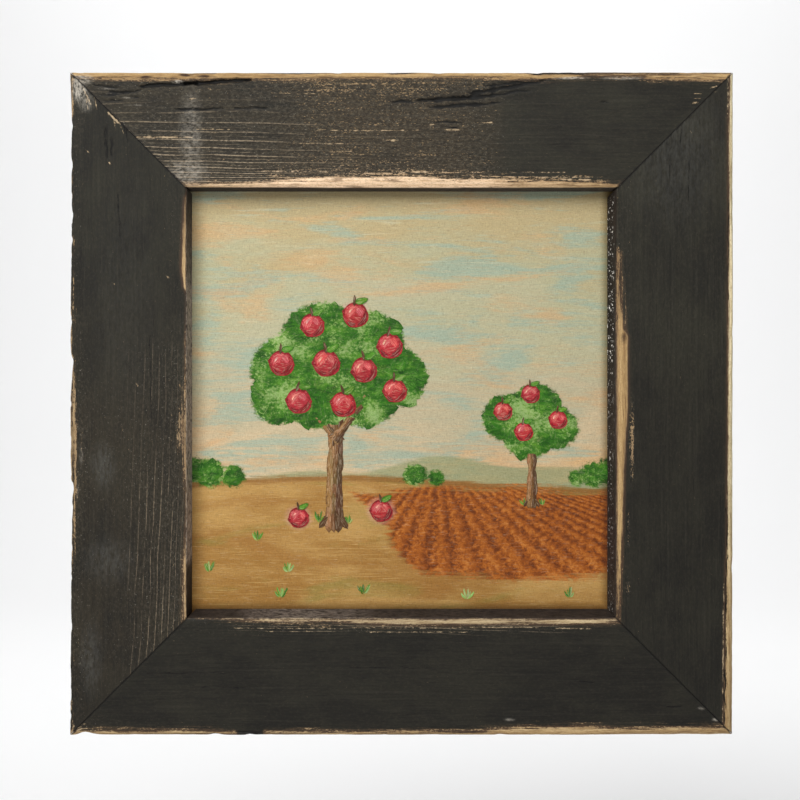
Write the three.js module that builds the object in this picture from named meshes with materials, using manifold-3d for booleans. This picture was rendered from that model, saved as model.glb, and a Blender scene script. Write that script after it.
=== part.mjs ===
// A square picture in a rustic frame, hanging on a wall by a sawtooth hanger.
// Four flat boards, painted black and rubbed through along their edges, meet in mitres. A rebate behind
// their inner edge holds a printed sheet on a hardboard back, kept in by steel tabs pushed into the wood.
// Steel V-nails pull the mitres together from behind, and two rubber bumpers keep the foot off the wall.
//
// Millimetres. +X is to the right seen from the front, +Y points into the wall and +Z is up.
// The origin is on the wall, where the hanging nail bears in the hanger's middle notch.

import * as THREE from "three";
import { mergeVertices } from "three/addons/utils/BufferGeometryUtils.js";
import Module from "manifold-3d";

const wasm = await Module();
wasm.setup();

// Frame boards
const FRAME_SIDE = 381; // 15 in, outside
const RAIL_WIDTH = 67; // board width seen from the front
const RAIL_DEPTH = 22; // board thickness
const LIP_DEPTH = 12; // wood left in front of the rebate
const REBATE_SIDE = 256; // pocket for the 254 mm picture
const MITRE_GAP = 0.3; // hairline left open between two boards
const BACK_BEVEL = 0.8; // small bevel on the back's outer edge
const STATIONS = 32; // sections along each board
// Wear takes this much off a side: a least depth, and a share of the width worn off the face.
const OUTER_WEAR = { least: 0.3, share: 0.6 };
const INNER_WEAR = { least: 0.4, share: 0.3 };
// The worn edge's shape, as shares of its width across the face and of its depth down the side
const WORN_EDGE = [[1, 0], [0.5, 0.14], [0.14, 0.5], [0, 1]];

// Picture
const PICTURE_SIDE = 254; // 10 in
const PRINT_THICKNESS = 0.4;
const BOARD_THICKNESS = 3;

// Hardware
const BUMPER_HEIGHT = 3;
const BUMPER_FOOT_RADIUS = 5;
const BUMPER_FACE_RADIUS = 4.2;
const BUMPER_X = 150;
const BUMPER_UP = 18; // bumper centre above the frame's lower edge
const HANGER_DROP = 24; // notch below the frame's upper edge
const HANGER_LENGTH = 48;
const HANGER_BODY = 8; // strip above the notches
const HANGER_THICKNESS = 0.9;
const HANGER_RISE = 1.8; // room behind the raised middle for a nail's head
const HANGER_BRIDGE = 28; // length of the raised middle
const HANGER_LEG = 3; // length of each sloping leg
const HANGER_FOLD = 0.3; // keeps the strip as thick on its slopes as on its flats
const TOOTH_PITCH = 2;
const TOOTH_HEIGHT = 1.2;
const TOOTH_COUNT = 12;
const NAIL_X = 20;
const NAIL_Z = 3.4;
const NAIL_SHANK_RADIUS = 0.65;
const NAIL_HEAD_RADIUS = 2;
const NAIL_HEAD_HEIGHT = 0.6;
const NAIL_LENGTH = 12;
const NAIL_JOIN = 0.2; // shank's overlap with its head, which are one piece
const TAB_WIDTH = 9;
const TAB_THICKNESS = 0.5;
const TAB_IN_WOOD = 5;
const TAB_OVER_BOARD = 11;
const TAB_CORNER = 2; // corners clipped off the free end
const TAB_POINT = 2.5; // length of the point in the wood
const TAB_X = 62; // tabs stand this far either side of each board's middle
const V_LEG = 6; // how far a V-nail's legs reach along the mitre
const V_SPREAD = 0.9; // how far each leg opens for a millimetre along the mitre
const V_ROOT = 1.4; // metal along the mitre where the legs meet
const V_THICKNESS = 0.8;
const V_HEIGHT = 8;
const V_RADII = [146, 172]; // where the V-nails cross each mitre, from the frame's middle
const CLEARANCE = 0.3; // room round a piece driven into wood
const TOUCH = 0.05; // room under a piece that rests on another

// Planes across the depth, from the wall (y = 0) forwards
const BACK_Y = -BUMPER_HEIGHT;
const FRONT_Y = BACK_Y - RAIL_DEPTH;
const LIP_BACK_Y = FRONT_Y + LIP_DEPTH;
const PRINT_BACK_Y = LIP_BACK_Y + PRINT_THICKNESS;
const BOARD_BACK_Y = PRINT_BACK_Y + BOARD_THICKNESS;
const TAB_Y = BOARD_BACK_Y + TOUCH;

// Distances from the frame's middle
const OUTER_R = FRAME_SIDE / 2;
const SIGHT_R = OUTER_R - RAIL_WIDTH;
const REBATE_R = REBATE_SIDE / 2;
const MIDDLE_Z = HANGER_DROP - OUTER_R;

// How each board is worn. Pairs are [place along the board, millimetres], and a board runs from -1 to 1
// clockwise round the frame, seen from the front. outer and inner are how far the sanding has cut into
// the face, wave is how far the outer edge wanders inwards, and slope is how far the sight edge leans in
// over the lip's depth.
const RAILS = [
  {
    name: "rail_top",
    turn: 0,
    slope: 1.4,
    outer: [
      [-1, 3.4], [-0.5, 3.4], [-0.2, 3], [0, 3.2], [0.3, 3], [0.45, 1.6], [0.75, 1.4], [0.88, 3], [1, 3.4],
    ],
    inner: [
      [-1, 0.8], [-0.65, 0.9], [-0.4, 3], [-0.2, 6], [0, 7], [0.2, 6.6], [0.45, 4.6], [0.8, 1.6], [1, 0.8],
    ],
    wave: [[-1, 0], [-0.6, 0.2], [-0.4, 0.5], [0, 0.1], [0.3, 0.4], [0.6, 0], [1, 0]],
  },
  {
    name: "rail_right",
    turn: 1,
    slope: 2.2,
    outer: [[-1, 1.8], [-0.6, 2.2], [-0.25, 1.2], [0, 2.2], [0.3, 2.8], [0.6, 3.6], [1, 4.4]],
    inner: [[-1, 0.4], [-0.6, 0.6], [-0.35, 2.4], [-0.22, 5], [0, 5], [0.25, 3.6], [0.5, 1.8], [1, 0.8]],
    wave: [[-1, 0], [1, 0]],
  },
  {
    name: "rail_bottom",
    turn: 2,
    slope: 2.9,
    outer: [
      [-1, 4.4], [-0.8, 3.6], [-0.5, 1.8], [0, 1.8], [0.4, 2.6], [0.5, 0.8], [0.65, 2.6], [0.95, 2.4], [1, 1.2],
    ],
    inner: [[-1, 1.2], [-0.6, 2.8], [-0.1, 3.4], [0.2, 3.4], [0.6, 2], [0.9, 0.8], [1, 0.5]],
    wave: [[-1, 0], [1, 0]],
  },
  {
    name: "rail_left",
    turn: 3,
    slope: 2,
    outer: [[-1, 1], [-0.5, 0.8], [-0.2, 1.6], [0.1, 1.2], [0.5, 0.8], [1, 1.2]],
    inner: [
      [-1, 1.4], [-0.6, 1.4], [-0.2, 1], [0, 1.4], [0.25, 0.6], [0.55, 1], [0.7, 2.6], [0.85, 1.8], [1, 0.6],
    ],
    wave: [
      [-1, 0], [-0.9, 0], [-0.6, 0.5], [-0.28, 1], [-0.2, 0.1], [0, 0.1], [0.1, 1], [0.2, 0.1], [0.55, 0.8],
      [0.75, 0.5], [0.85, 0.9], [1, 0],
    ],
  },
];

// Reads a list of [place, value] pairs at t with an eased step from pair to pair.
function along(pairs, t) {
  const next = pairs.findIndex(([place]) => place >= t);
  if (next <= 0) return pairs[next === 0 ? 0 : pairs.length - 1][1];
  const [t0, v0] = pairs[next - 1];
  const [t1, v1] = pairs[next];
  return THREE.MathUtils.lerp(v0, v1, THREE.MathUtils.smoothstep(t, t0, t1));
}

// A worn edge from the face down to a side, as four points of a soft bevel
function wornEdge(faceR, sideR, depth) {
  return WORN_EDGE.map(([across, down]) => ({
    r: THREE.MathUtils.lerp(sideR, faceR, across),
    y: FRONT_Y + depth * down,
  }));
}

// One board's section at t: r is the distance from the frame's middle and y the depth.
function railSection(rail, t) {
  const outerWidth = along(rail.outer, t);
  const innerWidth = along(rail.inner, t);
  const outerR = OUTER_R - along(rail.wave, t);
  const outerDepth = OUTER_WEAR.least + OUTER_WEAR.share * outerWidth;
  const innerDepth = INNER_WEAR.least + INNER_WEAR.share * innerWidth;
  const sightAt = (depth) => SIGHT_R - (rail.slope * depth) / LIP_DEPTH;
  return [
    ...wornEdge(SIGHT_R + innerWidth, sightAt(innerDepth), innerDepth),
    { r: sightAt(LIP_DEPTH), y: LIP_BACK_Y },
    { r: REBATE_R, y: LIP_BACK_Y },
    { r: REBATE_R, y: BACK_Y },
    { r: outerR - BACK_BEVEL, y: BACK_Y },
    { r: outerR, y: BACK_Y - BACK_BEVEL },
    ...wornEdge(outerR - outerWidth, outerR, outerDepth).reverse(),
  ];
}

// Extrudes a section from mitre to mitre, then gives each station along the board its own worn section.
function railGeometry(rail) {
  const nominal = railSection(rail, -1);
  const outline = new THREE.Shape(nominal.map(({ r, y }) => new THREE.Vector2(r, y)).reverse());
  const geometry = new THREE.ExtrudeGeometry(outline, { depth: 2, steps: STATIONS, bevelEnabled: false });
  const position = geometry.getAttribute("position");
  for (let i = 0; i < position.count; i++) {
    const t = THREE.MathUtils.clamp(1 - position.getZ(i), -1, 1);
    const away = ({ r, y }) => Math.hypot(r - position.getX(i), y - position.getY(i));
    const index = nominal.reduce((best, p, k) => (away(p) < away(nominal[best]) ? k : best), 0);
    const { r, y } = railSection(rail, t)[index];
    position.setXYZ(i, t * (r - MITRE_GAP / 2), y, r);
  }
  return geometry;
}

// Manifold solids, used only to cut the holes that driven pieces stand in
function toSolid(geometry) {
  const bare = new THREE.BufferGeometry();
  bare.setAttribute("position", geometry.getAttribute("position"));
  if (geometry.index) bare.setIndex(geometry.index);
  const merged = mergeVertices(bare, 1e-4);
  return new wasm.Manifold(
    new wasm.Mesh({
      numProp: 3,
      vertProperties: new Float32Array(merged.getAttribute("position").array),
      triVerts: new Uint32Array(merged.index.array),
    }),
  );
}

function toGeometry(solid) {
  const { numProp, numVert, vertProperties, triVerts } = solid.getMesh();
  const positions = new Float32Array(numVert * 3);
  for (let i = 0; i < numVert; i++) {
    positions.set(vertProperties.subarray(i * numProp, i * numProp + 3), i * 3);
  }
  const geometry = new THREE.BufferGeometry();
  geometry.setAttribute("position", new THREE.BufferAttribute(positions, 3));
  geometry.setIndex(new THREE.BufferAttribute(new Uint32Array(triVerts), 1));
  return geometry;
}

function cut(geometry, holes) {
  return toGeometry(holes.reduce((solid, hole) => solid.subtract(toSolid(hole)), toSolid(geometry)));
}

// A flat outline in the board's plane, given as [x, z] points, with its thickness from y0 to y1
function plate(points, y0, y1) {
  const shape = new THREE.Shape(points.map(([x, z]) => new THREE.Vector2(x, z)));
  const geometry = new THREE.ExtrudeGeometry(shape, { depth: y1 - y0, bevelEnabled: false });
  return geometry.rotateX(Math.PI / 2).translate(0, y1, 0);
}

// A round pin along Y
function pin(radius, y0, y1, x, z, sides = 12) {
  return new THREE.CylinderGeometry(radius, radius, y1 - y0, sides).translate(x, (y0 + y1) / 2, z);
}

// A V-nail's outline across a mitre: side is 1 at the board's right end and -1 at its left end.
function vNailOutline(radius, side, grow) {
  const half = V_THICKNESS / 2 + grow;
  const root = V_ROOT / 2 + 2 * grow;
  const reach = V_LEG + grow;
  const spread = reach * V_SPREAD;
  // In the diagonal's own frame, a is along the mitre towards the outer corner and b is across it.
  const inDiagonal = [
    [root, 0],
    [-reach, spread + half],
    [-reach - half, spread - half],
    [-root, 0],
    [-reach - half, half - spread],
    [-reach, -spread - half],
  ];
  const points = inDiagonal.map(([a, b]) => {
    const x = radius + (a - b) * Math.SQRT1_2;
    const z = radius + (a + b) * Math.SQRT1_2;
    return [side * x, z];
  });
  return side > 0 ? points : points.reverse();
}

function vNail(radius, side) {
  return plate(vNailOutline(radius, side, 0), BACK_Y - V_HEIGHT - CLEARANCE, BACK_Y - CLEARANCE);
}

function vNailHole(radius, side) {
  return plate(vNailOutline(radius, side, CLEARANCE), BACK_Y - V_HEIGHT - 2 * CLEARANCE, BACK_Y + 1);
}

// A framer's tab lies on the back board, with its pointed end in a slit in the rebate's wall.
function tabOutline(x, grow) {
  const half = TAB_WIDTH / 2 + grow;
  const wood = REBATE_R + TAB_IN_WOOD + grow;
  const free = REBATE_R - TAB_OVER_BOARD;
  return [
    [x - half, free + TAB_CORNER],
    [x - half + TAB_CORNER, free],
    [x + half - TAB_CORNER, free],
    [x + half, free + TAB_CORNER],
    [x + half, wood - TAB_POINT],
    [x, wood],
    [x - half, wood - TAB_POINT],
  ];
}

function tabSlit(x) {
  return plate(tabOutline(x, CLEARANCE), TAB_Y - CLEARANCE, TAB_Y + TAB_THICKNESS + CLEARANCE);
}

// The hanger is a bent strip: two pads on the wood and a raised, toothed middle.
function hangerGeometry() {
  const half = HANGER_LENGTH / 2;
  const bridge = HANGER_BRIDGE / 2;
  const foot = bridge + HANGER_LEG;
  const pad = BACK_Y;
  const top = BACK_Y + HANGER_RISE;
  const sideView = [
    [-half, pad],
    [-foot, pad],
    [-bridge, top],
    [bridge, top],
    [foot, pad],
    [half, pad],
    [half, pad + HANGER_THICKNESS],
    [foot - HANGER_FOLD, pad + HANGER_THICKNESS],
    [bridge - HANGER_FOLD, top + HANGER_THICKNESS],
    [-bridge + HANGER_FOLD, top + HANGER_THICKNESS],
    [-foot + HANGER_FOLD, pad + HANGER_THICKNESS],
    [-half, pad + HANGER_THICKNESS],
  ];
  const shape = new THREE.Shape(sideView.map(([x, y]) => new THREE.Vector2(x, y)));
  const strip = new THREE.ExtrudeGeometry(shape, { depth: HANGER_BODY + TOOTH_HEIGHT, bevelEnabled: false });
  strip.translate(0, 0, -TOOTH_HEIGHT);
  const holes = [-NAIL_X, NAIL_X].map((x) => pin(NAIL_SHANK_RADIUS + CLEARANCE, BACK_Y - 1, 1, x, NAIL_Z));
  return cut(strip, [toothGaps(half + 1), ...holes]);
}

// What the teeth leave out: a notched strip below the hanger. A notch is centred on x = 0.
function toothGaps(reach) {
  const points = [[-reach, -TOOTH_HEIGHT - 1], [reach, -TOOTH_HEIGHT - 1], [reach, 0]];
  const first = -((TOOTH_COUNT - 1) / 2) * TOOTH_PITCH - TOOTH_PITCH / 2;
  for (let i = TOOTH_COUNT; i >= 0; i--) {
    const notch = first + i * TOOTH_PITCH;
    points.push([notch, 0]);
    if (i > 0) points.push([notch - TOOTH_PITCH / 2, -TOOTH_HEIGHT]);
  }
  points.push([-reach, 0]);
  return plate(points, BACK_Y - 1, 1);
}

function nailGeometry(x) {
  const headFront = BACK_Y + HANGER_THICKNESS + TOUCH;
  const shank = toSolid(pin(NAIL_SHANK_RADIUS, BACK_Y - NAIL_LENGTH, headFront + NAIL_JOIN, x, NAIL_Z));
  const head = toSolid(pin(NAIL_HEAD_RADIUS, headFront, headFront + NAIL_HEAD_HEIGHT, x, NAIL_Z, 16));
  return toGeometry(shank.add(head));
}

// Materials
const blackPaint = new THREE.MeshStandardMaterial({ color: 0x2b2824, roughness: 0.75, metalness: 0 });
const printedSheet = new THREE.MeshStandardMaterial({ color: 0xc2ad84, roughness: 0.6, metalness: 0 });
const hardboard = new THREE.MeshStandardMaterial({ color: 0x6b4a30, roughness: 0.85, metalness: 0 });
const steel = new THREE.MeshStandardMaterial({ color: 0xa9a8a4, roughness: 0.35, metalness: 1 });
const rubber = new THREE.MeshStandardMaterial({ color: 0x1d1c1b, roughness: 0.8, metalness: 0 });

const picture = new THREE.Group();

function addPiece(parent, name, geometry, material) {
  const mesh = new THREE.Mesh(geometry, material);
  mesh.name = name;
  parent.add(mesh);
  return mesh;
}

// Boards with the pieces driven into them, each in a group turned about the frame's middle
for (const rail of RAILS) {
  const group = new THREE.Group();
  group.position.z = MIDDLE_Z;
  group.rotation.y = (rail.turn * Math.PI) / 2;
  picture.add(group);
  const holes = [-TAB_X, TAB_X].map(tabSlit);
  for (const radius of V_RADII) holes.push(vNailHole(radius, 1), vNailHole(radius, -1));
  if (rail.turn === 0) {
    const hole = pin(NAIL_SHANK_RADIUS + CLEARANCE, BACK_Y - NAIL_LENGTH - CLEARANCE, BACK_Y + 1, 0, 0);
    for (const x of [-NAIL_X, NAIL_X]) holes.push(hole.clone().translate(x, 0, NAIL_Z - MIDDLE_Z));
  }
  addPiece(group, rail.name, cut(railGeometry(rail), holes), blackPaint);
  [-TAB_X, TAB_X].forEach((x, i) => {
    const tab = plate(tabOutline(x, 0), TAB_Y, TAB_Y + TAB_THICKNESS);
    addPiece(group, `tab_${rail.name.slice(5)}_${i + 1}`, tab, steel);
  });
  V_RADII.forEach((radius, i) => {
    addPiece(group, `v_nail_corner_${rail.turn + 1}_${i + 1}`, vNail(radius, 1), steel);
  });
}

// Picture, resting on the lower board's rebate
const pictureDrop = (REBATE_SIDE - PICTURE_SIDE) / 2 - CLEARANCE;
const sheetGeometry = new THREE.BoxGeometry(PICTURE_SIDE, PRINT_THICKNESS, PICTURE_SIDE);
const sheet = addPiece(picture, "picture_print", sheetGeometry, printedSheet);
sheet.position.set(0, (LIP_BACK_Y + PRINT_BACK_Y) / 2, MIDDLE_Z - pictureDrop);
const boardGeometry = new THREE.BoxGeometry(PICTURE_SIDE, BOARD_THICKNESS, PICTURE_SIDE);
const board = addPiece(picture, "back_board", boardGeometry, hardboard);
board.position.set(0, (PRINT_BACK_Y + BOARD_BACK_Y) / 2, MIDDLE_Z - pictureDrop);

// Hanger with its two nails, and the bumpers at the foot
addPiece(picture, "sawtooth_hanger", hangerGeometry(), steel);
[-NAIL_X, NAIL_X].forEach((x, i) => addPiece(picture, `hanger_nail_${i + 1}`, nailGeometry(x), steel));
[-BUMPER_X, BUMPER_X].forEach((x, i) => {
  const disc = new THREE.CylinderGeometry(BUMPER_FACE_RADIUS, BUMPER_FOOT_RADIUS, BUMPER_HEIGHT, 24);
  const bumper = addPiece(picture, `bumper_${i + 1}`, disc, rubber);
  bumper.position.set(x, BACK_Y + BUMPER_HEIGHT / 2, MIDDLE_Z - OUTER_R + BUMPER_UP);
});

export default picture;
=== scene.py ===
# %% [markdown]
# A framed picture, dressed
#
# The object is a square picture in a wide, flat, rustic frame. Four pine boards were painted black,
# then sanded so that bare wood shows along their edges. This lesson dresses the engineering model of
# that frame with weathered boards, a painted picture and real hanging hardware.

# %% The frame that everything is built around
import math

import bmesh
import bpy
import numpy as np
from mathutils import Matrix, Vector


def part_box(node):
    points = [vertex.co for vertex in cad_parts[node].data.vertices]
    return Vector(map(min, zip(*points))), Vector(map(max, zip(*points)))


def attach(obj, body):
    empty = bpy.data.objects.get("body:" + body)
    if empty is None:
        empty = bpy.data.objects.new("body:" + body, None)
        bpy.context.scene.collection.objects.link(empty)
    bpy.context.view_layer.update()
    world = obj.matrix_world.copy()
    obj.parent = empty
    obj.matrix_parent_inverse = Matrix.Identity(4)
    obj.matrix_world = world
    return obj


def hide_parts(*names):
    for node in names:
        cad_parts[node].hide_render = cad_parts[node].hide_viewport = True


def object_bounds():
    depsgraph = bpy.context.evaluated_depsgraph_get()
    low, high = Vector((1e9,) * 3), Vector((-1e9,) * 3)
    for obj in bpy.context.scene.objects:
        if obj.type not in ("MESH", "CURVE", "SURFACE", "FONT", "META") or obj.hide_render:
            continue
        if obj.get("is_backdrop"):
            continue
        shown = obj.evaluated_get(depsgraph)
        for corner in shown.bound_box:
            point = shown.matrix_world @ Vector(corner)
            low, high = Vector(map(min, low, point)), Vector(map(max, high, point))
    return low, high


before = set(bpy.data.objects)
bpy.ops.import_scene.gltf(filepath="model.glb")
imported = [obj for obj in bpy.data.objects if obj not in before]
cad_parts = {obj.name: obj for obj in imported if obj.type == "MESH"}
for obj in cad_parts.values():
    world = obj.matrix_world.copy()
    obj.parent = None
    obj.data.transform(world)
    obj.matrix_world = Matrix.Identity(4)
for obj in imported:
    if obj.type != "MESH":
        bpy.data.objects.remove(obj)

cad_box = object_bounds()
print("engineering model, metres:", cad_box)

# %% [markdown]
# Every size below comes from the frame, or from one of a few driving sizes. The front of the boards
# faces -Y and the wall is at y = 0. Each board is made lying along X above the frame's middle, and is
# then turned round that middle to its own side.

# %% Sizes
MM = 0.001
RAIL_WIDTH = 67 * MM
PICTURE_PLAY = 1 * MM  # room between the picture and the rebate's wall
MITRE_GAP = 0.3 * MM

low, high = (Vector(corner) for corner in cad_box)
OUTER = (high.x - low.x) / 2
MIDDLE_Z = low.z + OUTER
INNER = OUTER - RAIL_WIDTH
FRONT = low.y
print_low, print_high = (Vector(corner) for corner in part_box("picture_print"))
LIP_BACK = print_low.y
REBATE = (print_high.x - print_low.x) / 2 + PICTURE_PLAY
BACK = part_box("rail_bottom")[1][1]
print("boards:", RAIL_WIDTH, "wide,", round(BACK - FRONT, 4), "thick; frame's middle:", round(MIDDLE_Z, 4))

# %% [markdown]
# Blender's edit-mode operators act on whatever is selected, so each step first clears the selection
# and then picks faces or edges by where they lie. These helpers do the picking, and finish a piece:
# its place goes into its mesh, it rides on the object, and it stands for its engineering part.

# %% Helpers for modelling


def clear_selection():
    if bpy.context.mode != "OBJECT":
        bpy.ops.object.mode_set(mode="OBJECT")
    bpy.ops.object.select_all(action="DESELECT")


def only(piece):
    clear_selection()
    piece.select_set(True)
    bpy.context.view_layer.objects.active = piece
    return piece


def start(name, primitive, **settings):
    clear_selection()
    primitive(**settings)
    piece = bpy.context.object
    piece.name = piece.data.name = name
    bpy.ops.object.transform_apply(location=True, rotation=True, scale=True)
    bpy.ops.object.mode_set(mode="EDIT")
    return piece


def pick(kind, test):
    """In edit mode, selects only the faces, edges or vertices for which test is true."""
    bpy.ops.mesh.select_mode(type=kind)
    mesh = bmesh.from_edit_mesh(bpy.context.object.data)
    for group in (mesh.verts, mesh.edges, mesh.faces):
        for element in group:
            element.select_set(False)
    chosen = {"VERT": mesh.verts, "EDGE": mesh.edges, "FACE": mesh.faces}[kind]
    count = 0
    for element in chosen:
        if test(element):
            element.select_set(True)
            count += 1
    mesh.select_flush_mode()
    bmesh.update_edit_mesh(bpy.context.object.data)
    return count


def middle_of(edge):
    return (edge.verts[0].co + edge.verts[1].co) / 2


def runs_along(edge, axis):
    step = edge.verts[1].co - edge.verts[0].co
    return abs(step[axis]) > 0.999 * step.length


def near(a, b, room=0.01 * MM):
    return abs(a - b) < room


def push(x=0, y=0, z=0):
    bpy.ops.transform.translate(value=(x, y, z))


def extrude(x=0, y=0, z=0):
    bpy.ops.mesh.extrude_region_move(TRANSFORM_OT_translate={"value": (x, y, z)})


def slice_at(axis, place, **settings):
    """Cuts all faces where a plane crosses them, which leaves a row of points there."""
    bpy.ops.mesh.select_all(action="SELECT")
    normal = Vector([1 if number == axis else 0 for number in range(3)])
    bpy.ops.mesh.bisect(plane_co=normal * place, plane_no=normal, **settings)


def close_seams():
    bpy.ops.mesh.select_all(action="SELECT")
    bpy.ops.mesh.remove_doubles(threshold=0.01 * MM)
    bpy.ops.mesh.normals_make_consistent(inside=False)


def bevel_edges(piece, width, segments=2, angle=30):
    only(piece)
    bevel = piece.modifiers.new("worn edges", "BEVEL")
    bevel.width, bevel.segments, bevel.limit_method = width, segments, "ANGLE"
    bevel.angle_limit = math.radians(angle)
    bpy.ops.object.modifier_apply(modifier=bevel.name)


def points_of(piece):
    flat = np.empty(len(piece.data.vertices) * 3)
    piece.data.vertices.foreach_get("co", flat)
    return flat.reshape(-1, 3)


def move_points(piece, points):
    piece.data.vertices.foreach_set("co", np.ascontiguousarray(points, dtype=float).ravel())
    piece.data.update()


def keep_values(piece, **values):
    """Stores named numbers or vectors, one for each point of the mesh, for a material to read."""
    for name, numbers in values.items():
        numbers = np.ascontiguousarray(numbers, dtype=np.float32)
        kind, field = ("FLOAT_VECTOR", "vector") if numbers.ndim == 2 else ("FLOAT", "value")
        layer = piece.data.attributes.new(name, kind, "POINT")
        layer.data.foreach_set(field, numbers.ravel())


def finish_piece(piece, material, slot, *nodes, smooth=30):
    only(piece)
    bpy.ops.object.transform_apply(location=True, rotation=True, scale=True)
    bpy.ops.object.shade_smooth_by_angle(angle=math.radians(smooth))
    piece.data.materials.clear()
    piece.data.materials.append(material)
    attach(piece, "root")
    if nodes:  # strokes of paint stand for no part of their own
        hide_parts(*nodes)
    print(piece.name, "faces:", len(piece.data.polygons))
    return piece


def turned_to_side(points, side):
    """Turns board points from above the frame's middle to side 0 top, 1 right, 2 bottom or 3 left."""
    x, y, r = points[:, 0], points[:, 1], points[:, 2]
    across, up = [(x, r), (r, -x), (-x, -r), (-r, x)][side]
    return np.column_stack([across, y, up + MIDDLE_Z])


# %% [markdown]
# Wear is random but never even. A sheet of random heights, joined by smooth slopes, gives soft hills
# and hollows of any size, and stretching it along the grain makes it look like wood. The seed keeps
# every run the same.

# %% Helpers for wear
SHEET_STEPS = 256  # the sheet of random heights repeats after this many steps
HILL_LAYERS = 3
LAYER_SHIFT = 7.3  # keeps the layers from lining up


def hills(u, v, seed):
    """Smooth random heights between -1 and 1, one hill for each whole step of u and v."""
    sheet = np.random.default_rng(seed).uniform(-1, 1, (SHEET_STEPS, SHEET_STEPS))
    i, j = np.floor(u).astype(int), np.floor(v).astype(int)
    s, t = u - i, v - j
    s, t = s * s * (3 - 2 * s), t * t * (3 - 2 * t)
    corner = lambda di, dj: sheet[(i + di) % SHEET_STEPS, (j + dj) % SHEET_STEPS]
    near_side = corner(0, 0) * (1 - s) + corner(1, 0) * s
    far_side = corner(0, 1) * (1 - s) + corner(1, 1) * s
    return near_side * (1 - t) + far_side * t


def rough_hills(u, v, seed):
    """Hills with smaller hills on them: each layer is twice as fine and half as high."""
    total = 0
    for layer in range(HILL_LAYERS):
        finer = hills(u * 2**layer + LAYER_SHIFT * layer, v * 2**layer, seed + layer)
        total = total + finer * 0.5**layer
    return total / sum(0.5**layer for layer in range(HILL_LAYERS))


def hills_along(a, step, seed, row=0):
    """Hills that change only along a board, so that a whole edge moves in or out together."""
    return hills(a / step, np.full_like(a, row), seed)


def eased(pairs, places):
    """Reads [place, value] pairs at many places, with a smooth step from pair to pair."""
    at = np.array([pair[0] for pair in pairs], dtype=float)
    value = np.array([pair[1] for pair in pairs], dtype=float)
    index = np.clip(np.searchsorted(at, places, side="left"), 1, len(at) - 1)
    share = np.clip((places - at[index - 1]) / (at[index] - at[index - 1]), 0, 1)
    share = share * share * (3 - 2 * share)
    return value[index - 1] * (1 - share) + value[index] * share


def fade(value, start_at, end_at):
    """0 below start_at, 1 beyond end_at, and a smooth step between; start_at may be the larger."""
    share = np.clip((value - start_at) / (end_at - start_at), 0, 1)
    return share * share * (3 - 2 * share)


# %% [markdown]
# A rustic frame board is first planed to an L: a full-width lip in front, and behind it the narrower
# part that leaves the rebate for the picture. It could be extruded from a drawn outline. Starting from
# a plank and extruding its back is closer to how the real board is made, and leaves clean quads that
# subdivide evenly, which the worn surface needs.

# %% Planing one board
EDGE_ZONE = 8 * MM  # strip beside each edge that gets finer rows
LENGTH_CUTS = (18, 14)  # made one after the other: 19 sections, then 15 in each
ROW_CUTS = {"outer edge": 21, "inner edge": 10, "face": 91, "side": 6, "sight": 11, "back": 3}


def planed_board(name):
    board = start(
        name,
        bpy.ops.mesh.primitive_cube_add,
        size=1,
        location=(0, (FRONT + LIP_BACK) / 2, (INNER + OUTER) / 2),
        scale=(2 * OUTER, LIP_BACK - FRONT, RAIL_WIDTH),
    )
    slice_at(2, REBATE)
    pick("FACE", lambda face: face.normal.y > 0.9 and face.calc_center_median().z > REBATE)
    extrude(y=BACK - LIP_BACK)
    for place in (INNER + EDGE_ZONE, OUTER - EDGE_ZONE):
        slice_at(2, place)
    return board


def add_rows():
    """Adds rows along the board, closest together where wear will be cut, and then sections across it."""
    front_row = lambda edge: runs_along(edge, 2) and near(middle_of(edge).y, FRONT)
    back_row = lambda edge: runs_along(edge, 2) and middle_of(edge).y > FRONT + 1 * MM
    pick("EDGE", lambda edge: front_row(edge) and middle_of(edge).z > OUTER - EDGE_ZONE)
    bpy.ops.mesh.subdivide(number_cuts=ROW_CUTS["outer edge"])
    pick("EDGE", lambda edge: front_row(edge) and middle_of(edge).z < INNER + EDGE_ZONE)
    bpy.ops.mesh.subdivide(number_cuts=ROW_CUTS["inner edge"])
    wide = lambda edge: edge.calc_length() > 2 * EDGE_ZONE
    pick("EDGE", lambda edge: front_row(edge) and wide(edge))
    bpy.ops.mesh.subdivide(number_cuts=ROW_CUTS["face"])
    pick("EDGE", lambda edge: back_row(edge) and edge.calc_length() > 2 * MM)
    bpy.ops.mesh.subdivide(number_cuts=ROW_CUTS["back"])
    pick("EDGE", lambda edge: runs_along(edge, 1) and not near(middle_of(edge).z, INNER))
    bpy.ops.mesh.subdivide(number_cuts=ROW_CUTS["side"])
    pick("EDGE", lambda edge: runs_along(edge, 1) and near(middle_of(edge).z, INNER))
    bpy.ops.mesh.subdivide(number_cuts=ROW_CUTS["sight"])
    for cuts in LENGTH_CUTS:
        pick("EDGE", lambda edge: runs_along(edge, 0))
        bpy.ops.mesh.subdivide(number_cuts=cuts)
    bpy.ops.object.mode_set(mode="OBJECT")


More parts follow.
